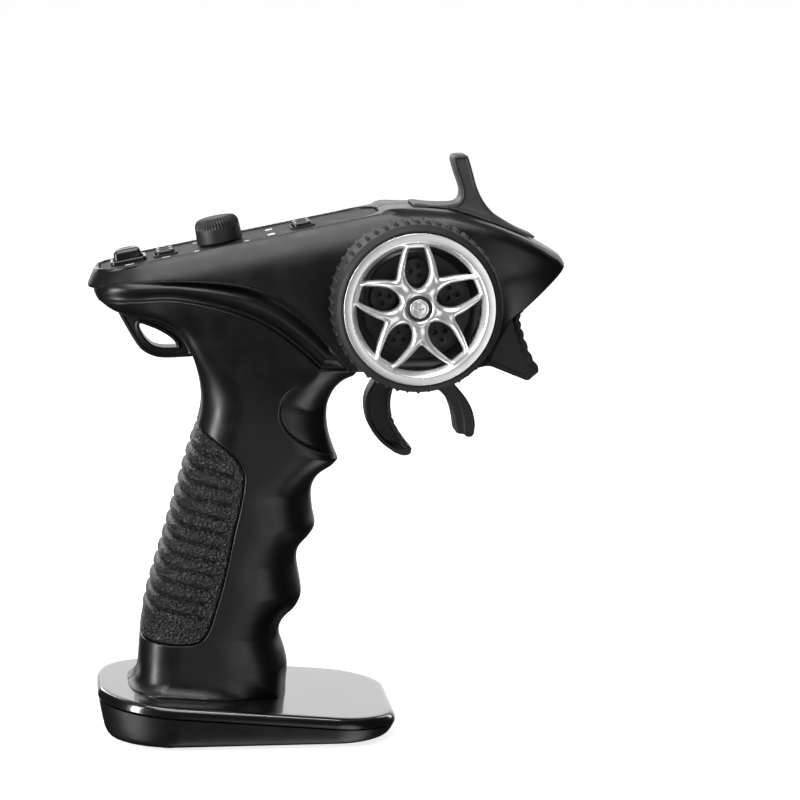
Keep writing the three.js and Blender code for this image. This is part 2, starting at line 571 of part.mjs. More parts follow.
const cellPlaces = [-1, 1].flatMap((i) => [-1, 1].map((j) => [i * BATTERY.spacing, j * BATTERY.spacing]));
const batteryCell = (x, y) => turnedZ([[0, 0], [BATTERY.radius, 0], [BATTERY.radius, BATTERY.length - 1.2],
  [2.7, BATTERY.length - 1.2], [2.7, BATTERY.length], [0, BATTERY.length]], 16).translate([x, y, 1.6]);
const batteryHolder = () => {
  const height = BATTERY.length + 3.2;
  const plate = rounded(-13.5, 13.5, 13.2, 4, 4, 3);
  return joined([
    sweepZ(plate, 0, 1.3),
    sweepZ(plate, height - 1.3, height),
    box([-13, 13], [-0.2, 0.2], [0.5, height - 0.5]),
    box([-0.2, 0.2], [-13, 13], [0.5, height - 0.5]),
  ]);
};

// ---------- Assembly ----------

const mesh = (name, solid, finish) => {
  const [color, roughness, metalness] = FINISH[finish];
  const piece = new THREE.Mesh(geometryOf(solid), new THREE.MeshStandardMaterial({ color, roughness, metalness }));
  piece.name = name;
  return piece;
};

const object = new THREE.Group();
object.position.y = CENTRE_SHIFT;
const shells = shellPair();

object.add(
  mesh('left_shell', shells.left, 'shell'),
  mesh('right_shell', shells.right, 'shell'),
  ...SHELL_SCREWS.map((place, i) => mesh(`shell_screw_${i + 1}`, shellScrew(place), 'steel')),
  mesh('grip_pad', padSolid(), 'rubber'),
  mesh('antenna_cover', antennaCover(), 'panel'),
  mesh('front_guard', frontGuard(), 'guard'),
  mesh('lanyard_loop', lanyardLoop(), 'shell'),
);

const footPlaces = FOOT.x.flatMap((x) => [-1, 1].map((side) => [x, side * FOOT.y]));
object.add(
  mesh('base_cover', baseCover(), 'gloss'),
  mesh('base_tray', baseTray(), 'shell'),
  mesh('battery_door', batteryDoor(), 'shell'),
  ...footPlaces.map(([x, y], i) => mesh(`foot_pad_${i + 1}`, footPad(x, y), 'rubber')),
  ...footPlaces.map(([x, y], i) => mesh(`base_screw_${i + 1}`, baseScrew(x, y), 'steel')),
);

object.add(
  mesh('wheel_rim', wheelRim(), 'silver'),
  mesh('wheel_tyre', wheelTyre(), 'rubber'),
  mesh('wheel_hub', wheelHub(), 'guard'),
  mesh('wheel_screw', wheelScrew(), 'silver'),
  mesh('wheel_pod', wheelPod(), 'shell'),
  mesh('steering_shaft', steeringShaft(), 'steel'),
  mesh('steering_bush', steeringBush(), 'brass'),
  mesh('steering_lever', steeringLever(), 'guard'),
  mesh('steering_spring', steeringSpring(), 'steel'),
  mesh('steering_pot', steeringPot(), 'guard'),
);

object.add(
  mesh('throttle_trigger', throttleTrigger(), 'guard'),
  mesh('trigger_axle', triggerAxle(), 'steel'),
  mesh('trigger_spring', triggerSpring(), 'steel'),
  mesh('trigger_pot', triggerPot(), 'guard'),
  mesh('main_board', mainBoard(), 'board'),
  mesh('radio_module', radioModule(), 'steel'),
  mesh('antenna_element', antennaElement(), 'brass'),
);

const panelGroup = new THREE.Group();
panelGroup.position.set(...PANEL.origin);
panelGroup.rotation.y = -panelAngle;
const TRIM_NAMES = ['steering_trim_right', 'steering_trim_left', 'throttle_trim_down', 'throttle_trim_up'];
panelGroup.add(
  mesh('control_panel', controlPanel(), 'panel'),
  mesh('panel_board', panelBoard(), 'board'),
  mesh('power_frame', powerFrame(), 'gloss'),
  mesh('power_button', powerButton(), 'gloss'),
  mesh('power_switch', powerSwitch(), 'guard'),
  mesh('dial_knob', dialKnob(), 'guard'),
  mesh('dial_pot', dialPot(), 'guard'),
  ...trimPlaces.map(([u, v], i) => mesh(TRIM_NAMES[i], trimKey(u, v), 'gloss')),
  ...trimPlaces.map(([u, v], i) => mesh(`trim_switch_${i + 1}`, trimSwitch(u, v), 'guard')),
  ...lampPlaces.map(([u, v], i) => mesh(`lamp_window_${i + 1}`, lampWindow(u, v), 'lamp')),
);
object.add(panelGroup);

const batteryGroup = new THREE.Group();
batteryGroup.position.set(BATTERY.foot[0], 0, BATTERY.foot[1]);
batteryGroup.rotation.y = Math.atan(BATTERY.lean);
batteryGroup.add(
  mesh('battery_holder', batteryHolder(), 'guard'),
  ...cellPlaces.map(([x, y], i) => mesh(`battery_cell_${i + 1}`, batteryCell(x, y), 'cell')),
);
object.add(batteryGroup);

export default object;
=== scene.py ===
import math

import bmesh
import bpy
import numpy as np
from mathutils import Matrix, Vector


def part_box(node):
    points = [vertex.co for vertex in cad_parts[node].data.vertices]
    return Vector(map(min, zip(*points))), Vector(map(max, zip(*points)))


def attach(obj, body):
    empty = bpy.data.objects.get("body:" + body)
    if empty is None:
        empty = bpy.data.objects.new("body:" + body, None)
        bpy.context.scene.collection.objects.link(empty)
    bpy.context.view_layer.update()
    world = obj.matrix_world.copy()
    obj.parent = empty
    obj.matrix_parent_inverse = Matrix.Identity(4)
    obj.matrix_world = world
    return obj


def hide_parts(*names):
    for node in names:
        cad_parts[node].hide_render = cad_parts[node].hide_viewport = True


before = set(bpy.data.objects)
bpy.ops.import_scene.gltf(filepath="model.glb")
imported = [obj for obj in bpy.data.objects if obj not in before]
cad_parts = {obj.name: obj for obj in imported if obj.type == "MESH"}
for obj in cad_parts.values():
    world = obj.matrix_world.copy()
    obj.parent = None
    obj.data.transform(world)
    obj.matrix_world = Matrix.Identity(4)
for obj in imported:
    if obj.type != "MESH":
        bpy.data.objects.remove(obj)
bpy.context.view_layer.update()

import openvdb
from mathutils import Matrix, Vector

# Looks of the pistol-grip transmitter. Lengths are in millimetres in the design's own frame, where
# y = 0 is the grip's middle plane; to_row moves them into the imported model's frame, in metres.

MM = 0.001


def centre_of(node):
    """Middle of a CAD node's box, in millimetres."""
    low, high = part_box(node)
    return [(a + b) / 2 / MM for a, b in zip(low, high)]


MIDDLE_Y = centre_of("base_cover")[1]
WHEEL_X, _, WHEEL_Z = centre_of("wheel_rim")
WHEEL_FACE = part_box("wheel_rim")[0][1] / MM - MIDDLE_Y
WHEEL_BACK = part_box("wheel_tyre")[1][1] / MM - MIDDLE_Y

PANEL_ORIGIN = (-40.0, 150.2)
PANEL_SLOPE = 0.195
PANEL_ENDS = (-29.4, 56.6)
PANEL_HALF_WIDTH = 15.0
PANEL_CORNER = 11.0
PANEL_ANGLE = math.atan(PANEL_SLOPE)

BASE_ENDS = (-72.0, 20.2)
BASE_HALF_WIDTH = 34.2
BASE_CORNERS = (25.0, 20.0)


def plate_height(x):
    """Height of the base's top plate, which slopes down to the front."""
    return 14.5 - 0.0906 * (x + 53.3)


def to_row(points):
    """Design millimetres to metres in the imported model's frame."""
    return (np.asarray(points, dtype=float) + (0, MIDDLE_Y, 0)) * MM


# ---------- Outlines ----------


def smooth(points, steps=6):
    """Points along a smooth open curve through the given ones."""
    knots = np.array(points, dtype=float)
    ends = np.vstack([2 * knots[0] - knots[1], knots, 2 * knots[-1] - knots[-2]])
    t = np.linspace(0, 1, steps, endpoint=False)[:, None]
    pieces = []
    for a, b, c, d in zip(ends[:-3], ends[1:-2], ends[2:-1], ends[3:]):
        pieces.append(0.5 * (2 * b + (c - a) * t + (2 * a - 5 * b + 4 * c - d) * t ** 2
                             + (3 * b - a - 3 * c + d) * t ** 3))
    return np.vstack(pieces + [knots[-1:]])


def outline(*stretches):
    """A closed outline of smooth stretches, with corners where they meet."""
    return np.vstack([smooth(stretch)[:-1] if i else smooth(stretch) for i, stretch in enumerate(stretches)])


def rounded_outline(ends, half_width, corners, steps=12):
    """A rounded rectangle as (x, y) points, anticlockwise; the corner radii are of its low and high ends."""
    low, high = ends
    first, last = corners
    centres = [(low + first, -half_width + first, first), (high - last, -half_width + last, last),
               (high - last, half_width - last, last), (low + first, half_width - first, first)]
    points = []
    for quarter, (x, y, radius) in enumerate(centres):
        for turn in np.linspace(math.pi, 1.5 * math.pi, steps + 1) + quarter * math.pi / 2:
            points.append((x + radius * math.cos(turn), y + radius * math.sin(turn)))
    return np.array(points)


def flat_distance(points, a, b):
    """Signed distance from each (a, b) to a closed outline, negative inside."""
    shape = np.broadcast(a, b).shape
    nearest = np.full(shape, 1e9, dtype=np.float32)
    inside = np.zeros(shape, dtype=bool)
    for (x0, y0), (x1, y1) in zip(points, np.roll(points, -1, axis=0)):
        dx, dy = x1 - x0, y1 - y0
        length = dx * dx + dy * dy
        if length < 1e-9:
            continue
        t = np.clip(((a - x0) * dx + (b - y0) * dy) / length, 0, 1)
        nearest = np.minimum(nearest, (a - x0 - t * dx) ** 2 + (b - y0 - t * dy) ** 2)
        if dy:
            inside ^= ((y0 > b) != (y1 > b)) & (a < x0 + (b - y0) * dx / dy)
    return np.where(inside, -1, 1) * np.sqrt(nearest)


# ---------- Fields ----------


def soft_max(a, b, blend):
    h = np.clip(0.5 + 0.5 * (a - b) / blend, 0, 1)
    return b + (a - b) * h + blend * h * (1 - h)


def soft_min(a, b, blend):
    return -soft_max(-a, -b, blend)


def ramp(value, low, high):
    """0 below low, 1 above high, smooth between."""
    t = np.clip((value - low) / (high - low), 0, 1)
    return t * t * (3 - 2 * t)


def panel_frame(x, z):
    """Distance along the panel's slope and height above its surface."""
    along = (x - PANEL_ORIGIN[0]) * math.cos(PANEL_ANGLE) + (z - PANEL_ORIGIN[1]) * math.sin(PANEL_ANGLE)
    above = (z - PANEL_ORIGIN[1]) * math.cos(PANEL_ANGLE) - (x - PANEL_ORIGIN[0]) * math.sin(PANEL_ANGLE)
    return along, above


# ---------- Objects ----------


def new_mesh_object(name, points, faces):
    """A mesh object in the scene, from points in metres."""
    mesh = bpy.data.meshes.new(name)
    mesh.from_pydata(points, [], [tuple(int(i) for i in face) for face in faces])
    thing = bpy.data.objects.new(name, mesh)
    bpy.context.scene.collection.objects.link(thing)
    return thing


def add_object(name, points, faces, body, slot, material, stands_for=()):
    """A smooth-shaded mesh that rides on a body. points are in design millimetres."""
    piece = new_mesh_object(name, to_row(points).tolist(), faces)
    piece.data.validate()
    piece.data.shade_smooth()
    piece.data.materials.append(material)
    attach(piece, body)
    if stands_for:
        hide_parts(*stands_for)
    return piece


def add_field(name, field, low, high, pitch, *args, **kwargs):
    """A mesh of the surface where field(x, y, z) is zero, inside a box."""
    low = np.array(low, dtype=float) - 2 * pitch
    counts = [int(math.ceil((top + 2 * pitch - bottom) / pitch)) + 1 for bottom, top in zip(low, high)]
    x, y, z = (bottom + pitch * np.arange(count) for bottom, count in zip(low, counts))
    values = field(x[:, None, None], y[None, :, None], z[None, None, :])
    values = np.clip(np.broadcast_to(values, counts), -3 * pitch, 3 * pitch).astype(np.float32)
    grid = openvdb.FloatGrid(3 * pitch)
    grid.copyFromArray(np.ascontiguousarray(values))
    points, quads = grid.convertToQuads(0.0)
    return add_object(name, points * pitch + low, quads, *args, **kwargs)


def loft(rings, closed_ends=True):
    """Points and faces through rings of equal numbers of points."""
    count = len(rings[0])
    faces = []
    for level in range(len(rings) - 1):
        for i in range(count):
            j = (i + 1) % count
            a, b = level * count, (level + 1) * count
            faces.append((a + i, a + j, b + j, b + i))
    if closed_ends:
        faces.append(tuple(range(count - 1, -1, -1)))
        top = (len(rings) - 1) * count
        faces.append(tuple(top + i for i in range(count)))
    return np.vstack(rings), faces


def turned(profile, centre, sides=96, wave=None):
    """Rings of a profile of (radius, y) turned about the y axis through centre (x, z).

    wave(angle, radius, y) gives a change of radius."""
    angles = np.linspace(0, 2 * math.pi, sides, endpoint=False)
    rings = []
    for radius, y in profile:
        reach = radius + (wave(angles, radius, y) if wave else 0 * angles)
        rings.append(np.column_stack([centre[0] + reach * np.cos(angles), np.full(sides, y),
                                      centre[1] + reach * np.sin(angles)]))
    return rings


def flat_ring(plan, height):
    return np.column_stack([plan, np.full(len(plan), height)])


def bend_edge(points, radius=0.4, steps=4):
    """Rounds every corner of an open (radius, y) profile."""
    points = [np.array(p, dtype=float) for p in points]
    result = [points[0]]
    for before, corner, after in zip(points, points[1:], points[2:]):
        into, out = before - corner, after - corner
        reach = min(radius, 0.45 * np.linalg.norm(into), 0.45 * np.linalg.norm(out))
        start = corner + into / np.linalg.norm(into) * reach
        stop = corner + out / np.linalg.norm(out) * reach
        for t in np.linspace(0, 1, steps):
            result.append((1 - t) ** 2 * start + 2 * t * (1 - t) * corner + t * t * stop)
    result.append(points[-1])
    return result


# ---------- Materials ----------


def add_node(tree, kind, inputs=None, **settings):
    """A node with its settings made and its inputs linked or filled in."""
    node = tree.nodes.new(kind)
    for key, value in settings.items():
        setattr(node, key, value)
    for key, value in (inputs or {}).items():
        if isinstance(value, bpy.types.NodeSocket):
            tree.links.new(value, node.inputs[key])
        else:
            node.inputs[key].default_value = value
    return node


class Nodes:
    """A short way to write a material's node tree."""

    def __init__(self, name):
        self.material = bpy.data.materials.new(name)
        self.material.use_nodes = True
        self.tree = self.material.node_tree
        self.shader = self.tree.nodes["Principled BSDF"]
        self.place = self.add("ShaderNodeTexCoord").outputs["Object"]

    def add(self, kind, inputs=None, **settings):
        return add_node(self.tree, kind, inputs, **settings)

    def noise(self, grain, detail=3.0, stretch=None):
        """Noise whose lumps are grain millimetres across."""
        place = self.place
        if stretch:
            place = self.add("ShaderNodeMapping", {"Vector": place, "Scale": stretch}).outputs[0]
        inputs = {"Vector": place, "Scale": 1 / (grain * MM), "Detail": detail}
        return self.add("ShaderNodeTexNoise", inputs).outputs[0]

    def cells(self, size, feature="DISTANCE_TO_EDGE"):
        return self.add("ShaderNodeTexVoronoi", {"Vector": self.place, "Scale": 1 / (size * MM)},
                        feature=feature).outputs["Distance"]

    def spread(self, value, low, high, source=(0.3, 0.7)):
        """Maps a noise value onto a range."""
        return self.add("ShaderNodeMapRange", {"Value": value, "From Min": source[0], "From Max": source[1],
                                               "To Min": low, "To Max": high}).outputs[0]

    def tint(self, value, dark, light):
        mix = self.add("ShaderNodeMix", {"Factor": value}, data_type="RGBA")
        mix.inputs[6].default_value = (*dark, 1)
        mix.inputs[7].default_value = (*light, 1)
        return mix.outputs[2]

    def bump(self, height, depth, normal=None):
        """Bump of a height from 0 to 1 that stands for depth millimetres."""
        inputs = {"Height": height, "Distance": depth * MM, "Strength": 1.0}
        if normal is not None:
            inputs["Normal"] = normal
        return self.add("ShaderNodeBump", inputs).outputs[0]

    def wire(self, **sockets):
        for key, value in sockets.items():
            socket = self.shader.inputs[key.replace("_", " ").title().replace("Ior", "IOR")]
            if isinstance(value, bpy.types.NodeSocket):
                self.tree.links.new(value, socket)
            else:
                socket.default_value = value
        return self.material


def moulded_plastic(name, dark, light, roughness, grain, depth, shine=0.5):
    """Fine-textured moulded plastic with faint unevenness in colour and gloss."""
    nodes = Nodes(name)
    cloud = nodes.noise(9)
    texture = nodes.noise(grain, detail=2.0)
    return nodes.wire(
        base_color=nodes.tint(nodes.spread(cloud, 0, 1), dark, light),
        roughness=nodes.spread(nodes.noise(5), roughness - 0.04, roughness + 0.05),
        normal=nodes.bump(texture, depth),
        specular_ior_level=shine,
    )


def polished_plastic(name, colour, roughness, ior):
    """Polished plastic with faint smears and moulding waves."""
    nodes = Nodes(name)
    light = tuple(c * 1.6 for c in colour)
    return nodes.wire(
        base_color=nodes.tint(nodes.spread(nodes.noise(12), 0, 1), colour, light),
        roughness=nodes.spread(nodes.noise(12), roughness, roughness * 1.15),
        normal=nodes.bump(nodes.noise(20, detail=1.0), 0.006),
        ior=ior,
        coat_weight=0.6,
        coat_roughness=0.04,
    )


def leather_rubber():
    """Rubber with a creased leather grain: glossy pebbles between dull creases. Its colour is darkest in the
    creases between pebbles and lightest on their tops, which is painted shade.
    """
    nodes = Nodes("leather_rubber")
    drift = nodes.add("ShaderNodeTexNoise", {"Vector": nodes.place, "Scale": 900.0}).outputs[1]
    warp = nodes.add("ShaderNodeMixRGB", {"Fac": 0.0012, "Color1": nodes.place, "Color2": drift}).outputs[0]
    pebble = nodes.add("ShaderNodeTexVoronoi", {"Vector": warp, "Scale": 1 / (1.25 * MM)},
                       feature="DISTANCE_TO_EDGE").outputs["Distance"]
    pebbles_and_crease_shade = nodes.spread(pebble, 0, 1, (0.0, 0.26))
    creases = nodes.spread(nodes.noise(1.1, detail=6.0), 0, 1, (0.38, 0.62))
    grain = nodes.bump(pebbles_and_crease_shade, 0.5)
    grain = nodes.bump(creases, 0.25, grain)
    return nodes.wire(
        # Painted shade: the colour follows the pebble height, dark in the creases and lighter on the raised
        # tops.
        base_color=nodes.tint(pebbles_and_crease_shade, (0.004, 0.004, 0.0044), (0.026, 0.026, 0.0274)),
        roughness=nodes.spread(creases, 0.4, 0.26, (0, 1)),
        normal=grain,
    )


def tyre_rubber():
    nodes = Nodes("tyre_rubber")
    dust = nodes.spread(nodes.noise(4), 0, 1)
    return nodes.wire(
        base_color=nodes.tint(dust, (0.011, 0.0113, 0.012), (0.018, 0.0183, 0.019)),
        roughness=nodes.spread(nodes.noise(2), 0.55, 0.7),
        normal=nodes.bump(nodes.noise(0.3), 0.03),
    )


def satin_silver():
    """Plated plastic with a satin polish."""
    nodes = Nodes("satin_silver")
    return nodes.wire(
        base_color=nodes.tint(nodes.spread(nodes.noise(3), 0, 1), (0.86, 0.863, 0.866), (0.93, 0.93, 0.935)),
        metallic=0.72,
        roughness=nodes.spread(nodes.noise(4), 0.22, 0.28),
    )


def bright_steel(name="bright_steel", colour=(0.55, 0.56, 0.58)):
    nodes = Nodes(name)
    lines = nodes.noise(1.5, stretch=(1, 0.05, 1))
    return nodes.wire(
        base_color=nodes.tint(nodes.spread(lines, 0, 1), tuple(c * 0.8 for c in colour), colour),
        metallic=1.0,
        roughness=nodes.spread(lines, 0.25, 0.4),
        normal=nodes.bump(lines, 0.01),
    )


def circuit_board():
    """Green solder mask with copper tracks under it."""
    nodes = Nodes("circuit_board")
    tracks = nodes.spread(nodes.cells(3.0), 0, 1, (0.1, 0.14))
    return nodes.wire(
        base_color=nodes.tint(tracks, (0.03, 0.16, 0.06), (0.012, 0.08, 0.03)),
        roughness=nodes.spread(tracks, 0.3, 0.4, (0, 1)),
        normal=nodes.bump(tracks, 0.03),
    )


# A white that glows: for the lamp windows the glow is their own light; on the printed panel marks it is
# painted light.
def glowing_white(name, colour, glow):
    nodes = Nodes(name)
    return nodes.wire(
        base_color=nodes.tint(nodes.spread(nodes.noise(0.8), 0, 1), tuple(c * 0.92 for c in colour), colour),
        roughness=nodes.spread(nodes.noise(0.5), 0.3, 0.45),
        emission_color=(*colour, 1),
        emission_strength=glow,
    )


def cell_sleeve():
    nodes = Nodes("cell_sleeve")
    return nodes.wire(
        base_color=nodes.tint(nodes.spread(nodes.noise(20), 0, 1), (0.03, 0.09, 0.22), (0.06, 0.16, 0.36)),
        roughness=nodes.spread(nodes.noise(6), 0.22, 0.35),
        normal=nodes.bump(nodes.noise(3), 0.02),
    )


SHELL = moulded_plastic("satin_black", (0.0034, 0.0035, 0.0037), (0.0052, 0.0053, 0.0056), 0.35, 0.22, 0.008)
PANEL = moulded_plastic("panel_grey", (0.014, 0.0143, 0.015), (0.02, 0.0205, 0.0215), 0.5, 0.3, 0.012, 0.2)
COVER = moulded_plastic("cover_grey", (0.042, 0.043, 0.045), (0.055, 0.056, 0.058), 0.46, 0.25, 0.01)
DARK = moulded_plastic("matt_black", (0.011, 0.011, 0.0115), (0.016, 0.016, 0.017), 0.5, 0.25, 0.012)
GUARD = moulded_plastic("guard_black", (0.005, 0.005, 0.0055), (0.008, 0.008, 0.0085), 0.45, 0.25, 0.012)
HUB = moulded_plastic("hub_black", (0.016, 0.017, 0.018), (0.03, 0.031, 0.033), 0.55, 0.6, 0.05)
GLOSS = polished_plastic("piano_black", (0.004, 0.004, 0.0044), 0.18, 1.6)
BUTTON = polished_plastic("button_black", (0.004, 0.004, 0.0044), 0.3, 1.45)
LEATHER = leather_rubber()
TYRE = tyre_rubber()
SILVER = satin_silver()
STEEL = bright_steel()
BRASS = bright_steel("turned_brass", (0.6, 0.45, 0.2))
BOARD = circuit_board()
LAMP = glowing_white("glowing_white", (0.9, 0.92, 0.9), 0.6)
# Painted light: the panel marks are white print and no lamp, yet their material glows faintly.
MARK_WITH_PAINTED_GLOW = glowing_white("mark_white_painted_glow", (0.92, 0.92, 0.92), 0.15)
SLEEVE = cell_sleeve()
# Body, slot and material of the most common finishes.
CASING_BLACK = ("casing", "shell_plastic", SHELL)
WHEEL_SILVER = ("steering_wheel", "silver_metal", SILVER)
WHEEL_DARK = ("steering_wheel", "dark_plastic")

# ---------- Casing ----------

HEAD_SEAM = [(-73.4, 138.8), (-66, 140.3), (-58.5, 141.2), (-44.3, 141.8), (-30, 140.8), (-20.8, 138.4),
             (-12.8, 134.3), (-4.2, 126), (3.2, 116.8), (5.6, 114.4)]
HEAD = outline(
    HEAD_SEAM, [(5.6, 114.4), (50, 114.2)],
    [(50, 114.2), (52.2, 120), (54.6, 126.6), (57, 129.8), (59.4, 131.6)], [(59.4, 131.6), (71.6, 142.9)],
    [(71.6, 142.9), (72.7, 144.2), (72.7, 145.8), (71.2, 147.9)],
    [(71.2, 147.9), (63.4, 152), (50, 157.7), (36.6, 162)],
    [(36.6, 162), (27.5, 162.8), (20, 163), (17.2, 162.6), (15.4, 161.6)], [(15.4, 161.6), (-69.8, 145.1)],
    [(-69.8, 145.2), (-71.2, 143.9), (-73.4, 139.6)],
)
LIP_LINE = [(-80, 136.4), (-70.5, 136.2), (-64, 136.3), (-58.5, 136.6), (-47.1, 136.8), (-35.7, 134.6),
            (-27.1, 131.9), (-18.5, 127.7), (-9.9, 121.2), (-3.6, 115.2)]
ABOVE_LIP = outline(
    LIP_LINE, [(-3.6, 115.2), (30, 113)], [(30, 113), (30, 180)], [(30, 180), (-80, 180)],
    [(-80, 180), (-80, 136.4)],
)
NECK = outline(
    [(-68, 143), (-72.2, 139.5)],
    [(-72.2, 139.5), (-72.2, 137.4), (-71, 135.8), (-68.8, 134.5), (-64.3, 132.3), (-57.2, 131.1),
     (-51.2, 129.4), (-46, 126.4), (-42.6, 121), (-39.8, 112.6), (-38.6, 106), (-38.8, 100.6), (-40.9, 93),
     (-43.4, 85.4), (-50.4, 61.5), (-55.6, 44.4), (-57.9, 33.4), (-58.7, 25.7), (-59.2, 20), (-60.2, 17.2),
     (-62.8, 15)], [(-62.8, 15), (-62.8, 8)], [(-62.8, 8), (-13.2, 8)],
    [(-13.2, 8), (-13.1, 14), (-12.6, 20), (-13.5, 25), (-15.0, 30.1), (-14, 34), (-10.3, 37.4),
     (-8.2, 41.4), (-8.3, 45.6), (-9.4, 53), (-8.8, 57), (-5.4, 60.6), (-3.7, 64), (-4.5, 69.4),
     (-4.7, 75), (-3, 79.6), (1.2, 82.8), (3.2, 85.2)],
    [(3.2, 85.2), (1.6, 89.4), (0.3, 94), (-0.1, 99), (0.6, 103.6), (2.4, 107.6), (4.8, 110.2),
     (7.5, 111.6)], [(7.5, 111.6), (12, 120), (6, 140)], [(6, 140), (-68, 143)],
)
REST_EDGE = [(2.2, 87.0), (-0.9, 87.7), (-4.2, 88.9), (-8.7, 91.2), (-12.7, 94.3), (-15.3, 98.2),
             (-15.7, 102.4), (-13.8, 107), (-9.2, 110.6)]
FINGER_REST = outline([(3.4, 86.6)] + REST_EDGE + [(-6, 116), (-4, 140)], [(-4, 140), (40, 140)],
                      [(40, 140), (40, 86.6)], [(40, 86.6), (3.4, 86.6)])
FRONT_EDGE = np.array(
    [(-12.6, 8), (-12.7, 14), (-12.6, 20), (-15.4, 30.1), (-8.9, 43), (-9.9, 53), (-4.3, 64), (-5.1, 75),
     (3.2, 85.2)],
)
GRIP_WIDTHS = ([6, 12, 17, 24, 34, 60, 84, 98, 108, 122],
               [18.8, 18.6, 18.2, 17.9, 17.8, 17.8, 17.2, 16.8, 17.2, 18.4])
SLOT = ((10, 45), 8.0, 121)
NOSE_START = -52.0
SPIKE_START = 40.0


def rounded_ends(x, side, half_width, nose, spike):
    """Distance to a wall whose plan rounds off over its last nose and spike millimetres."""
    power = 2.5
    reach = np.maximum(NOSE_START - x, 0) / nose + np.maximum(x - SPIKE_START, 0) / spike
    return ((reach ** power + (side / half_width) ** power) ** (1 / power) - 1) * half_width


def head_distance(x, y, z):
    depth = PANEL_ORIGIN[1] + PANEL_SLOPE * (x - PANEL_ORIGIN[0]) - z
    section = 16.6 + 7.6 * (1 - np.exp(-np.maximum(depth, 0) / 8))
    under = (142.6 + 0.12 * (x - 55) - z) / 1.2
    under_spike = 1.2 * (np.maximum(under, 0) + np.log1p(np.exp(-np.abs(under)))) * ramp(x, 42, 56)
    section = np.maximum(section - 0.5 * under_spike, 4.0)
    wall = rounded_ends(x, np.abs(y), section, 19.2 + 0.42 * np.clip(depth, 0, 6), 35.5)
    roof_rounding = 3.2 * ramp(x, 15, 24) * ramp(z, 142, 150)
    belly_rounding = 5 * ramp(x, 11, 20) * (1 - ramp(z, 116, 126))
    return soft_max(wall, flat_distance(HEAD, x, z), 1.0 + roof_rounding + belly_rounding)


def neck_distance(x, y, z):
    below_lip = flat_distance(ABOVE_LIP, x, z)
    grip = np.interp(z, *GRIP_WIDTHS)
    flare = 4.2 * np.exp(-np.maximum(z - plate_height(x) - 0.4, 0) / 2.2) * (1 - ramp(x, -40, -16))
    body = grip + flare + 4.4 * np.exp(-np.maximum(below_lip, 0) / 7.5)
    band = 20.6 + 1.3 * ramp(-below_lip, 0.8, 3.6) * ramp(below_lip, -8, -4.2)
    half_width = band + (body - band) * ramp(below_lip, -0.5, 0.5)
    rest = -flat_distance(FINGER_REST, x, z)
    half_width = half_width - (0.55 * ramp(rest, 0, 0.9) + 3.0 * ramp(rest, 0, 15)) * (1 - ramp(z, 101, 112))
    front = np.interp(z, FRONT_EDGE[:, 1], FRONT_EDGE[:, 0])
    closeness = np.clip(1 - (front - x) / 22, 0, 1) * (1 - ramp(z, 76, 92))
    half_width = half_width * (1 - 0.34 * closeness ** 2.4)
    wall = rounded_ends(x, np.abs(y), half_width, 20.6, 60.0)
    roundness = 5.5 + 7 * (1 - ramp(z, 106, 122))
    return soft_max(wall, flat_distance(NECK, x, z), roundness)


def panel_pocket(x, y, z):
    along, above = panel_frame(x, z)
    plan = flat_distance(PANEL_PLAN, along, y)
    return np.maximum(plan - 0.5, -1.1 - above)


def trigger_slot(x, y, z):
    (rear, front), half_width, top = SLOT
    middle, reach = (rear + front) / 2, (front - rear) / 2
    return np.maximum(np.maximum(np.abs(x - middle) - reach, np.abs(y) - half_width), z - top)


PANEL_PLAN = rounded_outline(PANEL_ENDS, PANEL_HALF_WIDTH, (PANEL_CORNER, PANEL_CORNER))
PAD = outline(
    [(-72, 31.6), (-60, 31.4), (-54.1, 30.6), (-48, 29.9), (-42.7, 30.0), (-39.4, 31.5), (-37.2, 35.2),
     (-35.5, 40.6), (-33.2, 48.4), (-31.4, 56.1), (-29.8, 63.9), (-27.7, 72.4), (-26.5, 80.1),
     (-26.8, 83.4), (-28.1, 86.1), (-30.4, 88.8), (-33.1, 91.1), (-36.8, 93.8), (-40, 95.9)],
    [(-40, 95.9), (-60, 108)], [(-60, 108), (-72, 108)], [(-72, 108), (-72, 31.6)],
)


PARTING = 0.12      # half the gap between the casing's halves
OPEN_SCREWS = ("shell_screw_1", "shell_screw_2", "shell_screw_3")  # the fourth is under the rubber
SCREW_BORE = 3.0
PAD_DEPTH = 1.3
CASING_PITCH = 0.38


def casing_distance(x, y, z):
    solid = np.minimum(head_distance(x, y, z), neck_distance(x, y, z))
    solid = np.maximum(solid, plate_height(x) - 1.2 - z)
    pad = np.maximum(flat_distance(PAD, x, z) - 0.25, -PAD_DEPTH - neck_distance(x, y, z))
    solid = np.maximum(solid, -pad)
    solid = soft_max(solid, -panel_pocket(x, y, z), 0.4)
    for name in OPEN_SCREWS:
        middle = centre_of(name)
        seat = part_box(name)[1][1] / MM - MIDDLE_Y + 0.2
        bore = np.maximum(np.hypot(x - middle[0], z - middle[2]) - SCREW_BORE, seat - y)
        solid = soft_max(solid, -bore, 0.5)
    return np.maximum(solid, -trigger_slot(x, y, z))


def add_casing():
    """The two halves, each a solid block with pockets where they show."""
    def right(x, y, z):
        return np.maximum(casing_distance(x, y, z), y + PARTING)

    def left(x, y, z):
        return np.maximum(casing_distance(x, y, z), PARTING - y)

    for hand, field, rear, front in (("right", right, -25, 0.4), ("left", left, -0.4, 25)):
        add_field(f"casing_{hand}", field, (-73.4, rear, 9), (73.4, front, 164), CASING_PITCH,
                  *CASING_BLACK, (f"{hand}_shell",))


def surface_line(line, field, side, depth):
    """Lays an (x, z) line on the side of a field's surface, depth millimetres under it."""
    x, z = line.T
    low, high = np.zeros(len(x)), np.full(len(x), 30.0)
    for _ in range(24):
        middle = (low + high) / 2
        outside = field(x, middle * side, z) > -depth
        high = np.where(outside, middle, high)
        low = np.where(outside, low, middle)
    return np.column_stack([x, side * low, z])


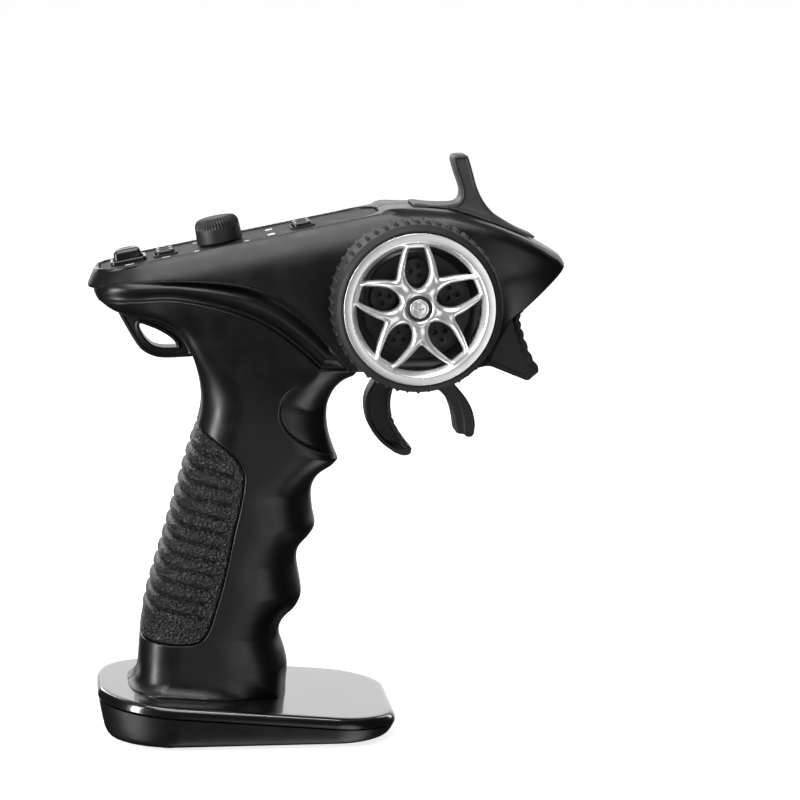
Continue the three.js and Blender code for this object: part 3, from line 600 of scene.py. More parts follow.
def tube(path, radius, sides=8):
    """A thin round bar along a path, drawn to a point at both ends."""
    along = np.gradient(path, axis=0)
    across = np.cross(along, (0, 0, 1))
    across /= np.linalg.norm(across, axis=1)[:, None]
    upward = np.cross(across, along)
    upward /= np.linalg.norm(upward, axis=1)[:, None]
    angles = np.linspace(0, 2 * math.pi, sides, endpoint=False)[:, None]
    share = np.linspace(0, 1, len(path))
    reach = radius * np.clip(np.minimum(share, 1 - share) * 12, 0.15, 1)
    return loft([point + size * (np.cos(angles) * a + np.sin(angles) * b)
                 for point, size, a, b in zip(path, reach, across, upward)])


BEAD_START = -70.0
BEAD_RADIUS = 0.18
BEAD_DEPTH = 0.06   # how far a bead's middle lies under the surface


def wrapped(line, rise):
    """A line that runs back to the nose, sampled more closely as it turns round it."""
    knots = smooth(line, 12)
    knots = knots[np.argsort(knots[:, 0])]
    x = BEAD_START + (knots[-1, 0] - 0.6 - BEAD_START) * np.linspace(0, 1, 140) ** 2
    return np.column_stack([x, np.interp(x, knots[:, 0], knots[:, 1]) + rise])


def add_beads():
    """Fine beads along the grip's lip, the head's lower rim and the finger rest's edge."""
    beads = (("lip_bead", wrapped(LIP_LINE, -0.6), neck_distance),
             ("seam_bead", wrapped(HEAD_SEAM, 0.55), head_distance),
             ("rest_bead", smooth(REST_EDGE, 12), neck_distance))
    for name, path, field in beads:
        for side, hand in ((-1, "right"), (1, "left")):
            bar = tube(surface_line(path, field, side, BEAD_DEPTH), BEAD_RADIUS)
            add_object(f"{name}_{hand}", *bar, *CASING_BLACK)


RIB_PITCH = 4.62
RIB_ENDS = (37.0, 92.4)
RIB_SLOPE = 0.24
RIB_RISE = 0.3
GROOVE_DEPTH = 0.75
PAD_PITCH = 0.3


def pad_distance(x, y, z):
    """A rubber skin over the back of the grip, with ribs that end in round tips short of its edge."""
    skin = neck_distance(x, y, z)
    zone = flat_distance(PAD, x, z)
    level = z + RIB_SLOPE * (x + 45)
    offset = np.abs((level - RIB_ENDS[0] + RIB_PITCH / 2) % RIB_PITCH - RIB_PITCH / 2)
    above_first = ramp(level, RIB_ENDS[0] - 1.5, RIB_ENDS[0] - 0.5)
    inside = above_first * (1 - ramp(level, RIB_ENDS[1] + 0.5, RIB_ENDS[1] + 1.5))
    tips = ramp(-zone - 0.2 * offset ** 2, 1.5, 2.4)
    groove = np.exp(-((RIB_PITCH / 2 - offset) / 0.62) ** 2)
    crown = 1 - (offset / (RIB_PITCH / 2)) ** 2.5
    top = 0.1 + RIB_RISE * inside * tips * crown - GROOVE_DEPTH * inside * tips * groove
    top = top - 0.6 * (1 - ramp(-zone, 0, 0.7))
    return np.maximum(np.maximum(skin - top, -skin - 1.2), zone)


def add_pad():
    add_field("grip_leather", pad_distance, (-63, -20, 28), (-24, 20, 100), PAD_PITCH,
              "casing", "grip_rubber", LEATHER, ("grip_pad",))


# ---------- Lanyard loop, front guard, antenna fin ----------

LOOP = outline(
    [(-64.2, 131.8), (-61.6, 127), (-59.1, 122.6), (-56.9, 119.6), (-53.8, 117.7), (-50.2, 116.9),
     (-44, 117), (-40.6, 117.2)],
    [(-40.6, 117.2), (-42, 121), (-45.8, 126.2), (-51.3, 129), (-57.3, 130.8), (-64.2, 131.8)],
)
LOOP_HOLE = outline(
    [(-57.6, 127), (-57.2, 125.4), (-55.6, 122.8), (-53.3, 120.7), (-50.4, 119.9), (-46.4, 119.8)],
    [(-46.4, 119.8), (-45.8, 120.6), (-47.4, 123), (-51, 125.4), (-54.4, 126.9), (-57, 127.8), (-57.6, 127)],
)
GUARD_BACK = [(59.6, 131.8), (52, 130.4), (47.5, 128), (44.6, 114.6)]
GUARD_FRONT = [(64.4, 113.0), (61.4, 118.2), (59.2, 124.5), (58.2, 129.0), (59.6, 131.8)]
GUARD_RIDGES = 7


def loop_distance(x, y, z):
    ring = np.maximum(flat_distance(LOOP, x, z), -flat_distance(LOOP_HOLE, x, z) - 0.25)
    recess = 0.7 * ramp(-ring, 0.7, 1.5)
    return soft_max(np.abs(y) - 5.0 + recess, ring, 1.4)


def guard_outline():
    front = smooth(GUARD_FRONT, 14)
    travel = np.linspace(0, GUARD_RIDGES, len(front))
    ridge = 0.55 * (np.abs(np.sin(math.pi * travel)) ** 0.8 - 0.5)
    front = front + np.column_stack([ridge, 0.35 * ridge])
    return np.vstack([front, smooth(GUARD_BACK, 4)[1:], [(49.6, 114.2)], [(60.4, 109.7)], [(61.2, 109.8)],
                      [(64.2, 112.4)]])


def guard_distance(x, y, z):
    flat = flat_distance(guard_outline(), x, z)
    cheek = 0.4 * ramp(-flat, 1.2, 1.8)
    return soft_max(np.abs(y) - 15.6 + cheek, flat, 1.1)


FIN = outline(
    [(26.4, 162.9), (37.4, 162.0), (50, 157.9), (63.2, 152.6)],
    [(63.2, 152.6), (63.8, 153.3), (59, 155.5), (55.3, 157.7), (51.2, 160.5), (48.2, 164.2), (46.2, 168.5),
     (45, 172.8), (43.9, 176.6)], [(43.9, 176.6), (43.3, 177.9), (42.2, 178.2)],
    [(42.2, 178.2), (40.2, 178.2)], [(40.2, 178.2), (39, 177.7), (38.7, 176.5)],
    [(38.7, 176.5), (39.6, 173), (40.8, 169.6), (41.5, 167), (41, 164.6), (38.8, 163.3), (33, 163.2),
     (27.4, 163.8)], [(27.4, 163.8), (26.2, 163.6), (26.4, 162.9)],
)


def fin_distance(x, y, z):
    flat = flat_distance(FIN, x, z)
    roof = np.interp(x, [26, 36.6, 50, 63.4, 66], [163, 162, 157.7, 152, 150.6])
    skirt = 4.6 * np.exp(-np.maximum(z - roof, 0) / 1.5)
    bead = 0.55 * ramp(-flat, 0.7, 1.1)
    half_width = np.minimum(5.4 - bead + skirt, 9.6 - 0.05 * np.maximum(x - 50, 0))
    return soft_max(np.abs(y) - half_width, flat, 1.3)


def add_trim():
    add_field("lanyard_ring", loop_distance, (-65, -5.2, 116), (-40, 5.2, 132.4), 0.25,
              *CASING_BLACK, ("lanyard_loop",))
    add_field("ribbed_guard", guard_distance, (44, -16, 107), (68, 16, 131.4), 0.32,
              "casing", "dark_plastic", GUARD, ("front_guard",))
    add_field("antenna_fin", fin_distance, (26, -10, 152), (64, 10, 178.2), 0.2,
              "casing", "panel_plastic", COVER, ("antenna_cover",))


# ---------- Base ----------


def base_ring(inset, drop):
    """An outline of the base, drawn in and dropped below the sloping plate."""
    plan = rounded_outline((BASE_ENDS[0] + inset, BASE_ENDS[1] - inset), BASE_HALF_WIDTH - inset,
                           (BASE_CORNERS[0] - inset, BASE_CORNERS[1] - inset), steps=20)
    return np.column_stack([plan, plate_height(plan[:, 0]) - drop])


def tray_ring(inset, share):
    """A ring of the tray, at a share of the way from the ground clearance up to the cover."""
    ring = base_ring(inset, COVER_DROP)
    ring[:, 2] = TRAY_FOOT + share * (ring[:, 2] - TRAY_FOOT)
    return ring


def box_cutter(low, high):
    return loft([[(low[0], low[1], z), (high[0], low[1], z), (high[0], high[1], z), (low[0], high[1], z)]
                 for z in (low[2], high[2])])


def rod_cutter(x, y, radius, low, high, sides=32):
    angles = np.linspace(0, 2 * math.pi, sides, endpoint=False)
    plan = np.column_stack([x + radius * np.cos(angles), y + radius * np.sin(angles)])
    return loft([flat_ring(plan, z) for z in (low, high)])


def cut(piece, cutters, operation="DIFFERENCE"):
    """Cuts closed meshes out of a piece, or keeps only what lies inside them."""
    tools = []
    for points, faces in cutters:
        tool = new_mesh_object("cutter", to_row(points).tolist(), faces)
        step = piece.modifiers.new("cut", "BOOLEAN")
        step.operation = operation
        step.solver = "EXACT"
        step.object = tool
        tools.append(tool)
    bpy.context.view_layer.update()
    shaped = bpy.data.meshes.new_from_object(piece.evaluated_get(bpy.context.evaluated_depsgraph_get()))
    piece.modifiers.clear()
    old, piece.data = piece.data, shaped
    bpy.data.meshes.remove(old)
    for tool in tools:
        bpy.data.objects.remove(tool)
    shaped.shade_smooth()
    shaped.set_sharp_from_angle(angle=math.radians(35))


COVER_DROP = 3.5
TRAY_FOOT = 0.8
TRAY_WALL = [(6.4, 0.0), (4.6, 0.01), (3.5, 0.05), (2.8, 0.12), (2.2, 0.24), (1.5, 0.5), (0.95, 0.76),
             (0.6, 0.93), (0.5, 0.985), (0.8, 1.0), (1.6, 1.0)]
TRAY_INSIDE = [(8.5, 0.14), (5.6, 0.2), (4.2, 0.5), (3.0, 1.15)]
DOOR_LOW, DOOR_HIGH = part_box("battery_door")
DOOR_SPAN = (DOOR_LOW[0] / MM, DOOR_HIGH[0] / MM)
DOOR_HALF_WIDTH = (DOOR_HIGH[1] - DOOR_LOW[1]) / 2 / MM
DOOR_TOP = DOOR_HIGH[2] / MM
DOOR_GAP = 0.25
DOOR_GRIPS = (-57, -54.4, -51.8, -49.2)
BAY_HALF_WIDTH = 15.2
COVER_EDGE = [(3.4, 3.2), (1.0, 3.2), (0.5, 3.1), (0.25, 2.8), (0.3, 2.3), (0.55, 1.4), (0.85, 0.8),
              (1.2, 0.36), (1.7, 0.1), (2.3, 0.0), (3.6, 0.0)]


def tray_solid():
    return loft([tray_ring(*step) for step in TRAY_WALL])


def add_base():
    """The top cover, the hollow tray with its openings, and the battery door cut from the same wall."""
    cover = loft([base_ring(*step) for step in COVER_EDGE])
    plate = add_object("base_plate", *cover, "casing", "gloss_plastic", GLOSS, ("base_cover",))
    cut(plate, [box_cutter((-56, -BAY_HALF_WIDTH, 4), (-24, BAY_HALF_WIDTH, 20))])
    tray = add_object("base_skirt", *tray_solid(), *CASING_BLACK, ("base_tray",))
    opening = DOOR_HALF_WIDTH + DOOR_GAP
    cutters = [loft([tray_ring(*step) for step in TRAY_INSIDE]),
               box_cutter((-90, -opening, -2), (DOOR_SPAN[1] + DOOR_GAP, opening, DOOR_TOP + DOOR_GAP)),
               box_cutter((-58, -BAY_HALF_WIDTH, -2), (DOOR_SPAN[1] - 2, BAY_HALF_WIDTH, 12))]
    for i in range(1, 5):
        x, y, _ = centre_of(f"base_screw_{i}")
        cutters.append(rod_cutter(x, y - MIDDLE_Y, SCREW_BORE, -2, TRAY_FOOT + 1.1))
    cut(tray, cutters)
    door = add_object("battery_hatch", *tray_solid(), "door", "shell_plastic", SHELL, ("battery_door",))
    block = box_cutter((DOOR_SPAN[0] - 3, -DOOR_HALF_WIDTH, 0), (DOOR_SPAN[1], DOOR_HALF_WIDTH, DOOR_TOP))
    cut(door, [block], "INTERSECT")
    cut(door, [box_cutter((x, -7, -1), (x + 1.2, 7, TRAY_FOOT + 0.5)) for x in DOOR_GRIPS])


# ---------- Steering wheel ----------

ARMS = 5
FIRST_ARM = math.radians(93)


def mirrored_outline(*half):
    """A closed outline from stretches on one side of the axis, joined across it and mirrored."""
    other = [[(x, -y) for x, y in reversed(stretch)] for stretch in reversed(half)]
    return outline(*half, [half[-1][-1], other[0][0]], *other)


WINDOW = mirrored_outline([(5.9, 0), (6.5, 1.3), (8, 2.6), (10.4, 3.35), (13.4, 3.1), (17.3, 2.35)],
                          [(17.3, 2.35), (17.8, 1.9)])
ARM_GAP = mirrored_outline([(11.2, 0), (11.7, 0.7), (13, 2), (14.8, 4.1), (16.4, 6.3), (17.4, 8.1)],
                           [(17.4, 8.1), (21, 9)])


def wheel_polar(x, z):
    radius = np.hypot(x - WHEEL_X, z - WHEEL_Z)
    sector = 2 * math.pi / ARMS
    angle = np.arctan2(z - WHEEL_Z, x - WHEEL_X) - FIRST_ARM
    return radius, (angle + sector / 2) % sector - sector / 2


def star_distance(x, y, z):
    """Five arms, each of two legs round a window; every leg is ridged along its middle."""
    radius, angle = wheel_polar(x, z)
    window = flat_distance(WINDOW, radius * np.cos(angle), radius * np.sin(angle))
    beside = math.pi / ARMS - np.abs(angle)
    gap = flat_distance(ARM_GAP, radius * np.cos(beside), radius * np.sin(beside))
    edge = soft_max(np.maximum(radius - 19.9, 3.0 - radius), np.maximum(0.15 - window, 0.25 - gap), 0.15)
    inside = np.maximum(-edge, 0)
    rise = 2.2 * ramp(radius, 3, 18)
    flank = 1.5 * np.exp(-inside / 0.75)
    front = WHEEL_FACE + 2.3 - rise + flank - 0.5 * np.exp(-((radius - 4.6) / 1.5) ** 2)
    return soft_max(soft_max(edge, front - y, 0.3), y - (WHEEL_FACE + 5.4 - rise), 0.3)


def hub_distance(x, y, z):
    radius, angle = wheel_polar(x, z)
    disc = np.maximum(radius - 16, np.abs(y - (WHEEL_FACE + 9.8)) - 0.9)
    across, aside = radius * np.cos(angle) - 10.6, radius * np.sin(angle)
    boss = np.maximum(np.hypot(across, aside) - 3.9, np.abs(y - (WHEEL_FACE + 8.9)) - 1.6)
    solid = soft_min(disc, boss, 0.4)
    for turn in (90, 210, 330):
        a, b = 1.7 * math.cos(math.radians(turn)), 1.7 * math.sin(math.radians(turn))
        pin = np.hypot(across - a, aside - b)
        solid = np.maximum(solid, -np.maximum(pin - 0.62, y - (WHEEL_FACE + 8.2)))
        ring = np.maximum(np.abs(pin - 1.0) - 0.16, np.abs(y - (WHEEL_FACE + 7.3)) - 0.25)
        solid = np.minimum(solid, ring)
    return np.maximum(solid, 3.1 - radius)


def wheel_box(reach, front, back):
    """The corners of a box round the wheel's shaft, from front to back behind the wheel's face."""
    return ((WHEEL_X - reach, WHEEL_FACE + front, WHEEL_Z - reach),
            (WHEEL_X + reach, WHEEL_FACE + back, WHEEL_Z + reach))


def add_turned(name, profile, sides, *args):
    """A ring on the wheel's shaft, from a closed (radius, y) profile."""
    points, faces = loft(turned(profile, (WHEEL_X, WHEEL_Z), sides), closed_ends=False)
    add_object(name, points, faces, *args)


def add_wheel():
    add_field("wheel_star", star_distance, *wheel_box(20.2, 0, 5.6), 0.16,
              *WHEEL_SILVER)
    add_field("hub_disc", hub_distance, *wheel_box(16.2, 6.8, 10.8), 0.2,
              *WHEEL_DARK, HUB, ("wheel_hub",))
    face, back = WHEEL_FACE, WHEEL_BACK
    lip = bend_edge([(20.7, back - 1), (20.7, face + 4.4), (18.5, face + 3.9), (18.5, face + 2.3),
                     (19.8, face + 0.3),
                     (20.1, face), (22.4, face), (22.4, back - 1), (20.7, back - 1)], 0.25)
    add_turned("rim_ring", lip, 144, *WHEEL_SILVER, ("wheel_rim",))
    wall = bend_edge([(22.6, back), (22.6, face + 0.9), (22.8, face + 0.45), (23.3, face + 0.45),
                      (23.6, face + 0.8),
                      (24.3, face + 1.2), (24.75, face + 2.4), (24.85, face + 4.2), (24.85, back - 2.5),
                      (24.2, back),
                      (22.6, back)], 0.35)
    add_turned("tyre_wall", wall, 144, "steering_wheel", "tyre_rubber", TYRE, ("wheel_tyre",))
    add_lugs(face, back)
    barrel = bend_edge([(3.3, back), (3.3, face + 10.6), (6, face + 10.6), (5.6, back), (3.3, back)], 0.4)
    add_turned("hub_barrel", barrel, 64, *WHEEL_DARK, DARK)
    pod = bend_edge([(3.4, -24.2), (15, -24.2), (15, -27.4), (12.6, -29.5), (8, -29.8), (3.4, -29.8),
                     (3.4, -24.2)], 0.7)
    add_turned("pivot_pod", pod, 96, *CASING_BLACK, ("wheel_pod",))


LUGS = 50
LUG_WIDTH = 1.1
LUG_HEIGHT = 1.2
LUG_RADIUS = 25.5


def add_lugs(face, back):
    """Narrow rounded bars across the tread; every other one starts a little nearer the tyre's edge."""
    shape = bmesh.new()
    for i in range(LUGS):
        start = face + (4.2 if i % 2 else 5.0)
        length = back - 3.0 - start
        bar = bmesh.ops.create_cube(shape, size=1.0)["verts"]
        turn = Matrix.Rotation(2 * math.pi * i / LUGS, 4, "Y")
        place = Matrix.Translation((WHEEL_X, start + length / 2, WHEEL_Z)) @ turn
        lift = Matrix.Translation((0, 0, LUG_RADIUS - LUG_HEIGHT / 2))
        size = Matrix.Diagonal((LUG_WIDTH, length, LUG_HEIGHT, 1))
        bmesh.ops.transform(shape, matrix=place @ lift @ size, verts=bar)
    bmesh.ops.bevel(shape, geom=shape.edges[:], offset=0.3, segments=2, affect="EDGES")
    points = np.array([v.co[:] for v in shape.verts])
    faces = [[v.index for v in f.verts] for f in shape.faces]
    shape.free()
    add_object("tyre_lugs", points, faces, "steering_wheel", "tyre_rubber", TYRE)


# ---------- Throttle trigger ----------

TRIGGER_X, _, TRIGGER_Z = centre_of("trigger_axle")
TRIGGER = outline(
    [(24.6, 85.3), (25.8, 85.9), (26.1, 87.4)],
    [(26.1, 87.4), (23.2, 91.2), (20.8, 95.4), (19.7, 99.6), (19.8, 104), (21.6, 108.6), (26.6, 111.4),
     (31.6, 108.2), (36.5, 103.6), (38.4, 100), (39.3, 96.3), (39.7, 93.2)],
    [(39.7, 93.2), (40.3, 92.0), (42.6, 91.6)], [(42.6, 91.6), (43.2, 91.0), (44.6, 90.9), (45.5, 91.8)],
    [(45.5, 91.8), (45.8, 95.2), (44.9, 99.4), (43.0, 103.1), (40.1, 106.7), (36.2, 112), (32.4, 119),
     (TRIGGER_X + 4.6, TRIGGER_Z + 2)],
    [(TRIGGER_X + 4.6, TRIGGER_Z + 2), (TRIGGER_X, TRIGGER_Z + 4.9), (TRIGGER_X - 4.6, TRIGGER_Z + 2)],
    [(TRIGGER_X - 4.6, TRIGGER_Z + 2), (21.2, 118), (17.4, 112), (14.0, 107.7), (12.2, 104), (11.8, 99.9),
     (13.0, 94.7), (16.2, 90), (20.4, 86.6), (23, 85.4), (24.6, 85.3)],
)
REAR_PRONG = outline(
    [(26.2, 84), (26.6, 88.6), (24, 92), (21.8, 96), (20.8, 100), (20.8, 104), (22, 108)],
    [(22, 108), (10, 110)], [(10, 110), (8, 84)], [(8, 84), (26.2, 84)],
)
TRIGGER_STEP = outline(
    [(32, 112), (35.6, 108.4), (39.2, 104.4), (41.4, 100.2), (42.3, 96), (42.6, 91)], [(42.6, 91), (50, 88)],
    [(50, 88), (50, 113)], [(50, 113), (32, 112)],
)


def trigger_distance(x, y, z):
    flat = flat_distance(TRIGGER, x, z)
    prong = -flat_distance(REAR_PRONG, x, z)
    toothed = (ramp(z, 86.5, 88) - ramp(z, 97, 99)) * ramp(x + 0.55 * (z - 87), 23, 24.5)
    teeth = 0.2 * np.sin(2.9 * (z - 86)) * toothed
    flat = flat + teeth * ramp(-x, -27.5, -26.5)
    taper = ramp(z, 87.2, 90)
    pocket = 2.2 * ramp(-flat, 1.05, 1.5) * ramp(prong, 0, 0.5) * taper
    step = 0.6 * ramp(-flat_distance(TRIGGER_STEP, x, z), -0.15, 0.15) * ramp(-z, -113, -111)
    solid = soft_max(np.abs(y) - 5.3 + pocket - step, flat, 0.9)
    return np.maximum(solid, 1.75 - np.hypot(x - TRIGGER_X, z - TRIGGER_Z))


def add_trigger():
    add_field("trigger_horseshoe", trigger_distance, (11, -6.2, 84.5), (47, 6.2, 130), 0.2,
              "trigger", "dark_plastic", DARK, ("throttle_trigger",))


# ---------- Control panel ----------


def on_panel(points):
    """Moves (along, across, above) points on the panel into the design frame."""
    along, across, above = np.asarray(points, dtype=float).T
    c, s = math.cos(PANEL_ANGLE), math.sin(PANEL_ANGLE)
    x, z = PANEL_ORIGIN[0] + along * c - above * s, PANEL_ORIGIN[1] + along * s + above * c
    return np.column_stack([x, across, z])


def cushion(centre, size, corner, levels, dish=0.0, steps=6):
    """A rounded block on the panel. levels are (inset, height) pairs; the last is its top."""
    rings = []
    for inset, height in levels:
        plan = rounded_outline((-size[0] / 2 + inset, size[0] / 2 - inset), size[1] / 2 - inset,
                               (max(corner - inset, 0.2),) * 2, steps)
        rings.append(flat_ring(plan + centre, height))
    top = levels[-1][1]
    for share in (0.75, 0.5, 0.25):
        plan = (rings[len(levels) - 1][:, :2] - centre) * share + centre
        rings.append(flat_ring(plan, top - dish * (1 - share ** 2)))
    points, faces = loft(rings)
    return on_panel(points), faces


# How far the rail's section stands out from the panel's edge, and above its surface.
RAIL = ((0.45, -0.5), (0.45, 0.12), (0.52, 0.26), (0.68, 0.36), (0.95, 0.38), (1.2, 0.3), (1.38, 0.1),
        (1.45, -0.25), (1.4, -0.8))


def add_rail():
    """A raised rail round the panel."""
    rings = []
    for grow, rise in RAIL:
        plan = rounded_outline((PANEL_ENDS[0] - grow, PANEL_ENDS[1] + grow), PANEL_HALF_WIDTH + grow,
                               (PANEL_CORNER + grow,) * 2, 16)
        rings.append(flat_ring(plan, rise))
    rings.append(rings[0])
    points, faces = loft(rings, closed_ends=False)
    add_object("panel_rail", on_panel(points), faces, *CASING_BLACK)


POWER_PLACE = (-20.6, 0.0)
TRIM_PLACES = [(-9.3, -2.9), (-9.3, 2.9), (33.4, -2.9), (33.4, 2.9)]
TRIM_NODES = ["steering_trim_right", "steering_trim_left", "throttle_trim_down", "throttle_trim_up"]
DIAL_PLACE = (7.9, 0.0)
MARKS = [(-20.6, -8.6, 2.8, 0.9), (-9.3, -8.6, 2.4, 0.9), (0.2, -10.0, 1.6, 1.1), (15.6, -9.6, 1.6, 1.1),
         (0.6, 12.2, 1.6, 1.1)]


def add_keys():
    block = [(0.6, -2.3), (0.2, -2.0), (0, -1.6), (0, 0.9), (0.12, 1.35), (0.4, 1.62), (0.8, 1.7)]
    for place, node in zip(TRIM_PLACES, TRIM_NODES):
        points, faces = cushion(place, (5.2, 4.2), 0.9, block, dish=0.45)
        add_object(node + "_cap", points, faces, node + "_key", "gloss_plastic", BUTTON, (node,))
    for name, along in (("trim_bezel_rear", TRIM_PLACES[0][0]), ("trim_bezel_front", TRIM_PLACES[2][0])):
        add_bezel(name, (along, 0.0), (7.6, 12.4), (5.9, 10.7), 1.3, 0.55, PANEL, "panel_plastic", ())
    tall = [(0.8, -2.9), (0.4, -2.6), (0, -2.2), (0, 2.4), (0.15, 3.2), (0.5, 3.85), (1.1, 4.2), (1.8, 4.3)]
    points, faces = cushion(POWER_PLACE, (8.5, 8.5), 1.3, tall, dish=0.35)
    add_object("power_cap", points, faces, "power", "gloss_plastic", BUTTON, ("power_button",))
    add_bezel("power_bezel", POWER_PLACE, (11.0, 11.0), (9.2, 9.2), 1.5, 1.25, BUTTON, "gloss_plastic",
              ("power_frame",))
    thin = [(0, -0.3), (0, 0.02), (0.05, 0.05)]
    # The printed marks glow faintly from their material, which is painted light.
    for i, (along, across, length, width) in enumerate(MARKS):
        points, faces = cushion((along, across), (length, width), 0.25, thin, steps=3)
        add_object(f"panel_mark_{i + 1}", points, faces, "casing", "lamp", MARK_WITH_PAINTED_GLOW)


def add_bezel(name, centre, outer, inner, corner, height, material, slot, stands_for):
    """A low raised frame round a key."""
    steps = [(outer, 0, -0.1), (outer, 0, height * 0.6), (outer, 0.12, height * 0.9), (outer, 0.35, height),
             (inner, -0.3, height), (inner, -0.08, height * 0.9), (inner, 0, height * 0.6), (inner, 0, -0.1)]
    rings = []
    for size, inset, rise in steps:
        plan = rounded_outline((-size[0] / 2 + inset, size[0] / 2 - inset), size[1] / 2 - inset,
                               (corner,) * 2, 6)
        rings.append(flat_ring(plan + centre, rise))
    rings.append(rings[0])
    points, faces = loft(rings, closed_ends=False)
    add_object(name, on_panel(points), faces, "casing", slot, material, stands_for)


KNOB_RIBS = 44


def add_knob():
    """The dial: a tapered cap with fine ribs round its upper edge, on a short shaft."""
    profile = bend_edge([(0.05, -2.9), (2.8, -2.9), (2.8, 0.35), (6.7, 0.35), (7.05, 0.6), (6.75, 6.4),
                         (5.9, 7.7),
                         (4.6, 8.1), (0.05, 8.1)], 0.5, 6)
    dense = []
    for a, b in zip(profile, profile[1:]):
        count = max(1, int(np.linalg.norm(b - a) / 0.45))
        dense += [a + (b - a) * t for t in np.linspace(0, 1, count, endpoint=False)]
    dense.append(profile[-1])

    def ribs(angles, radius, height):
        share = ramp(height, 4.6, 5.6) * ramp(radius, 4.4, 5.4)
        return -0.5 * share * (1 - np.abs(np.sin(KNOB_RIBS / 2 * angles + 0.5 * (height - 5))) ** 0.7)

    rings = []
    for ring in turned(dense, (0, 0), KNOB_RIBS * 8, ribs):
        rings.append(np.column_stack([ring[:, 0] + DIAL_PLACE[0], ring[:, 2] + DIAL_PLACE[1], ring[:, 1]]))
    points, faces = loft(rings)
    add_object("dial_cap", on_panel(points), faces, "dial", "dark_plastic", DARK, ("dial_knob",))


# ---------- Screws and what stays as packed ----------


def add_wheel_cap():
    """The wheel's centre screw: a domed head with a cross slot, in a dark ring."""
    face = WHEEL_FACE + 1.5

    def cap(x, y, z):
        radius = np.hypot(x - WHEEL_X, z - WHEEL_Z)
        dome = np.maximum(radius - 2.8, face + 0.045 * radius ** 2 - y)
        dome = np.maximum(dome, y - (face + 3.4))
        rim = np.maximum(np.abs(radius - 2.2) - 0.16, np.abs(y - face - 0.3) - 0.4)
        dome = np.maximum(dome, -rim)
        reach = np.maximum(np.abs(x - WHEEL_X), np.abs(z - WHEEL_Z)) - 1.5
        slot = np.minimum(np.abs(x - WHEEL_X), np.abs(z - WHEEL_Z)) - 0.28
        return np.maximum(dome, -np.maximum(np.maximum(reach, slot), y - face - 1.2))

    add_field("wheel_cap", cap, (WHEEL_X - 3, face - 0.2, WHEEL_Z - 3),
              (WHEEL_X + 3, face + 3.6, WHEEL_Z + 3),
              0.1, *WHEEL_SILVER, ("wheel_screw",))
    ring = bend_edge([(3.7, face + 3.2), (2.85, face + 3.2), (2.85, face + 0.8), (3.35, face + 0.5),
                      (3.7, face + 0.8), (3.7, face + 3.2)], 0.15)
    add_turned("wheel_cap_ring", ring[::-1], 72, *WHEEL_DARK, DARK)


KEPT = {
    "control_panel": PANEL, "steering_bush": BRASS, "antenna_element": BRASS,
    "main_board": BOARD, "panel_board": BOARD, "radio_module": STEEL,
    "steering_shaft": STEEL, "steering_spring": STEEL, "trigger_axle": STEEL, "trigger_spring": STEEL,
}
KEPT_GROUPS = [("shell_screw_", STEEL), ("base_screw_", STEEL), ("foot_pad_", TYRE),
               ("battery_cell_", SLEEVE),
               ("trim_switch_", DARK), ("lamp_window_", LAMP)]


def finish_kept_nodes():
    """Gives every CAD node that stays a procedural material, and softens the edges of the ones in sight."""
    for name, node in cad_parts.items():
        material = KEPT.get(name, DARK)
        for start, finish in KEPT_GROUPS:
            if name.startswith(start):
                material = finish
        node.data.materials.clear()
        node.data.materials.append(material)
        for slot_of in node.material_slots:
            slot_of.material = material
        if name == "control_panel" or name.startswith("foot_pad_"):
            edge = node.modifiers.new("edge", "BEVEL")
            edge.width = 0.25 * MM
            edge.segments = 2
            edge.limit_method = "ANGLE"


# ---------- Stage ----------


FLOOR_SIDES = 96
FLOOR_DROP = 0.0002
# Radius and height of the floor's sweep, in metres.
FLOOR_SWEEP = ((7.0, 0.0), (9.0, 0.15), (10.6, 0.7), (12.0, 1.8), (13.0, 3.5), (13.6, 6.0), (14.0, 14.0))


def add_floor():
    """A pale floor that sweeps up far away, hidden from the object's reflections."""
    angles = np.linspace(0, 2 * math.pi, FLOOR_SIDES, endpoint=False)
    points = [(radius * math.cos(angle), radius * math.sin(angle), height - FLOOR_DROP)
              for radius, height in FLOOR_SWEEP for angle in angles]
    faces = [tuple(range(FLOOR_SIDES))]
    for start in range(0, FLOOR_SIDES * (len(FLOOR_SWEEP) - 1), FLOOR_SIDES):
        faces += [(start + k, start + FLOOR_SIDES + k, start + FLOOR_SIDES + (k + 1) % FLOOR_SIDES,
                   start + (k + 1) % FLOOR_SIDES) for k in range(FLOOR_SIDES)]
    floor = new_mesh_object("floor", points, faces)
    floor.data.shade_smooth()
    nodes = Nodes("floor_white")
    cloud = nodes.spread(nodes.noise(300), 0, 1)
    nodes.wire(base_color=nodes.tint(cloud, (0.8, 0.8, 0.8), (0.84, 0.84, 0.84)),
               roughness=0.8, emission_color=(1, 1, 1, 1), emission_strength=0.8)
    floor.data.materials.append(nodes.material)
    floor.visible_glossy = False
    floor.visible_diffuse = False
    floor.visible_shadow = False


LIGHT_AIM = (0, 0, 0.1)
# Name, place and size in metres, power in watts.
LIGHTS = (
    ("left_strip", (-1.05, -0.5, 0.3), (0.3, 1.0), 15),
    ("high_front", (-0.2, -0.8, 1.3), (0.8, 0.5), 6),
    ("overhead", (-0.1, -0.25, 1.3), (0.9, 0.14), 6),
    ("rear_right_strip", (1.0, 0.95, 0.5), (0.2, 1.0), 2.5),
    ("rear_left_strip", (-0.5, 1.2, 0.7), (0.3, 0.9), 4),
)


def add_light(name, place, size, power):
    light = bpy.data.lights.new(name, "AREA")
    light.shape = "RECTANGLE"
    light.size, light.size_y = size
    light.energy = power
    lamp = bpy.data.objects.new(name, light)
    lamp.location = place
    lamp.rotation_euler = (Vector(LIGHT_AIM) - Vector(place)).to_track_quat("-Z", "Y").to_euler()
    lamp.visible_camera = False
    bpy.context.scene.collection.objects.link(lamp)


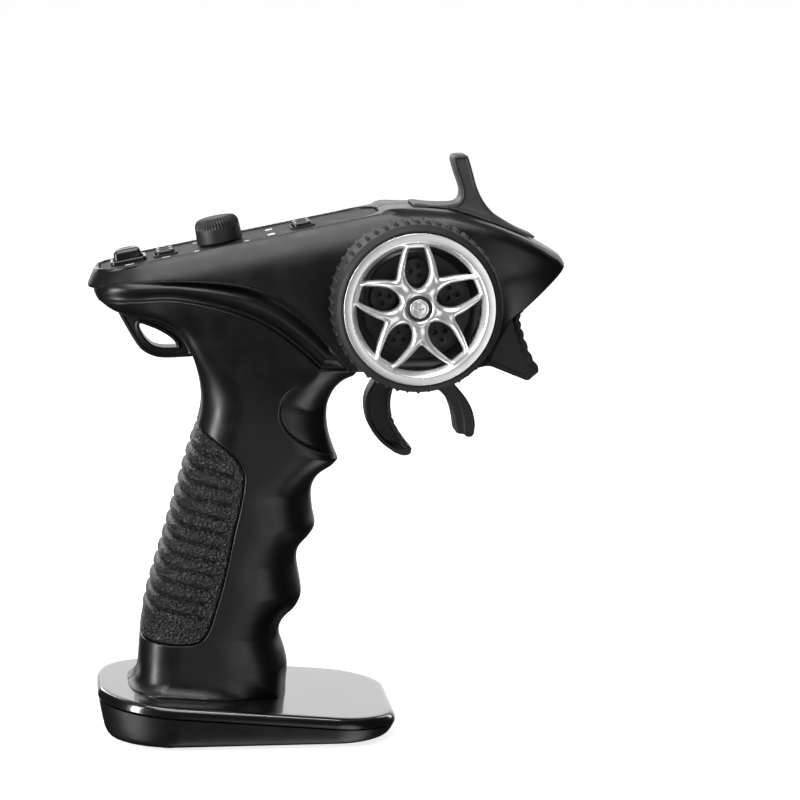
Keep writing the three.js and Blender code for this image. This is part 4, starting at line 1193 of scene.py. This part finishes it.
# Soft white cards round the object: direction, cosines where each fades in and is full, brightness.
CARDS = (
    ((0.13, 0.98, 0.12), 0.84, 0.98, 1.45),
    ((0.33, -0.22, -0.92), 0.9, 0.99, 2.6),
    ((0.45, -0.88, -0.12), 0.88, 0.99, 1.3),
    ((-0.86, -0.2, -0.45), 0.92, 0.99, 3.0),
    ((-0.1, 0.2, 1.0), 0.55, 0.97, 0.3),
)
DIM_ROOM = 0.022


def add_world():
    """A dim studio with a few soft white cards."""
    world = bpy.data.worlds.new("studio")
    world.use_nodes = True
    bpy.context.scene.world = world
    tree = world.node_tree
    place = tree.nodes.new("ShaderNodeTexCoord").outputs["Generated"]
    total = DIM_ROOM
    for direction, fade, full, brightness in CARDS:
        facing = add_node(tree, "ShaderNodeVectorMath", {0: place, 1: Vector(direction).normalized()},
                          operation="DOT_PRODUCT")
        reach = {"Value": facing.outputs["Value"], "From Min": fade, "From Max": full, "To Max": brightness}
        card = add_node(tree, "ShaderNodeMapRange", reach, interpolation_type="SMOOTHSTEP")
        total = add_node(tree, "ShaderNodeMath", {0: card.outputs[0], 1: total}).outputs[0]
    tree.links.new(total, tree.nodes["Background"].inputs["Strength"])
    tree.nodes["Background"].inputs["Color"].default_value = (1, 1, 1, 1)


CAMERA_AZIMUTH = -6.0
CAMERA_ELEVATION = 9.0
CAMERA_DISTANCE = 1.0
CAMERA_AIM = (23.0, 0.0, 102.0)
VIEW_WIDTH = 0.248  # width of the view at the camera's aim, in metres


def add_camera():
    a, e = math.radians(CAMERA_AZIMUTH), math.radians(CAMERA_ELEVATION)
    back = Vector((math.sin(a) * math.cos(e), -math.cos(a) * math.cos(e), math.sin(e)))
    aim = Vector(to_row([CAMERA_AIM])[0])
    data = bpy.data.cameras.new("camera")
    data.sensor_width = 36.0
    data.lens = 36.0 * CAMERA_DISTANCE / VIEW_WIDTH
    data.clip_end = 50
    camera = bpy.data.objects.new("camera", data)
    camera.location = aim + back * CAMERA_DISTANCE
    camera.rotation_euler = (-back).to_track_quat("-Z", "Y").to_euler()
    bpy.context.scene.collection.objects.link(camera)
    bpy.context.scene.camera = camera


add_camera()
add_world()
add_floor()
for strip in LIGHTS:
    add_light(*strip)
bpy.context.scene.view_settings.view_transform = "Standard"

add_casing()
add_beads()
add_pad()
add_rail()
add_trim()
add_base()
add_wheel()
add_wheel_cap()
add_trigger()
add_keys()
add_knob()
finish_kept_nodes()
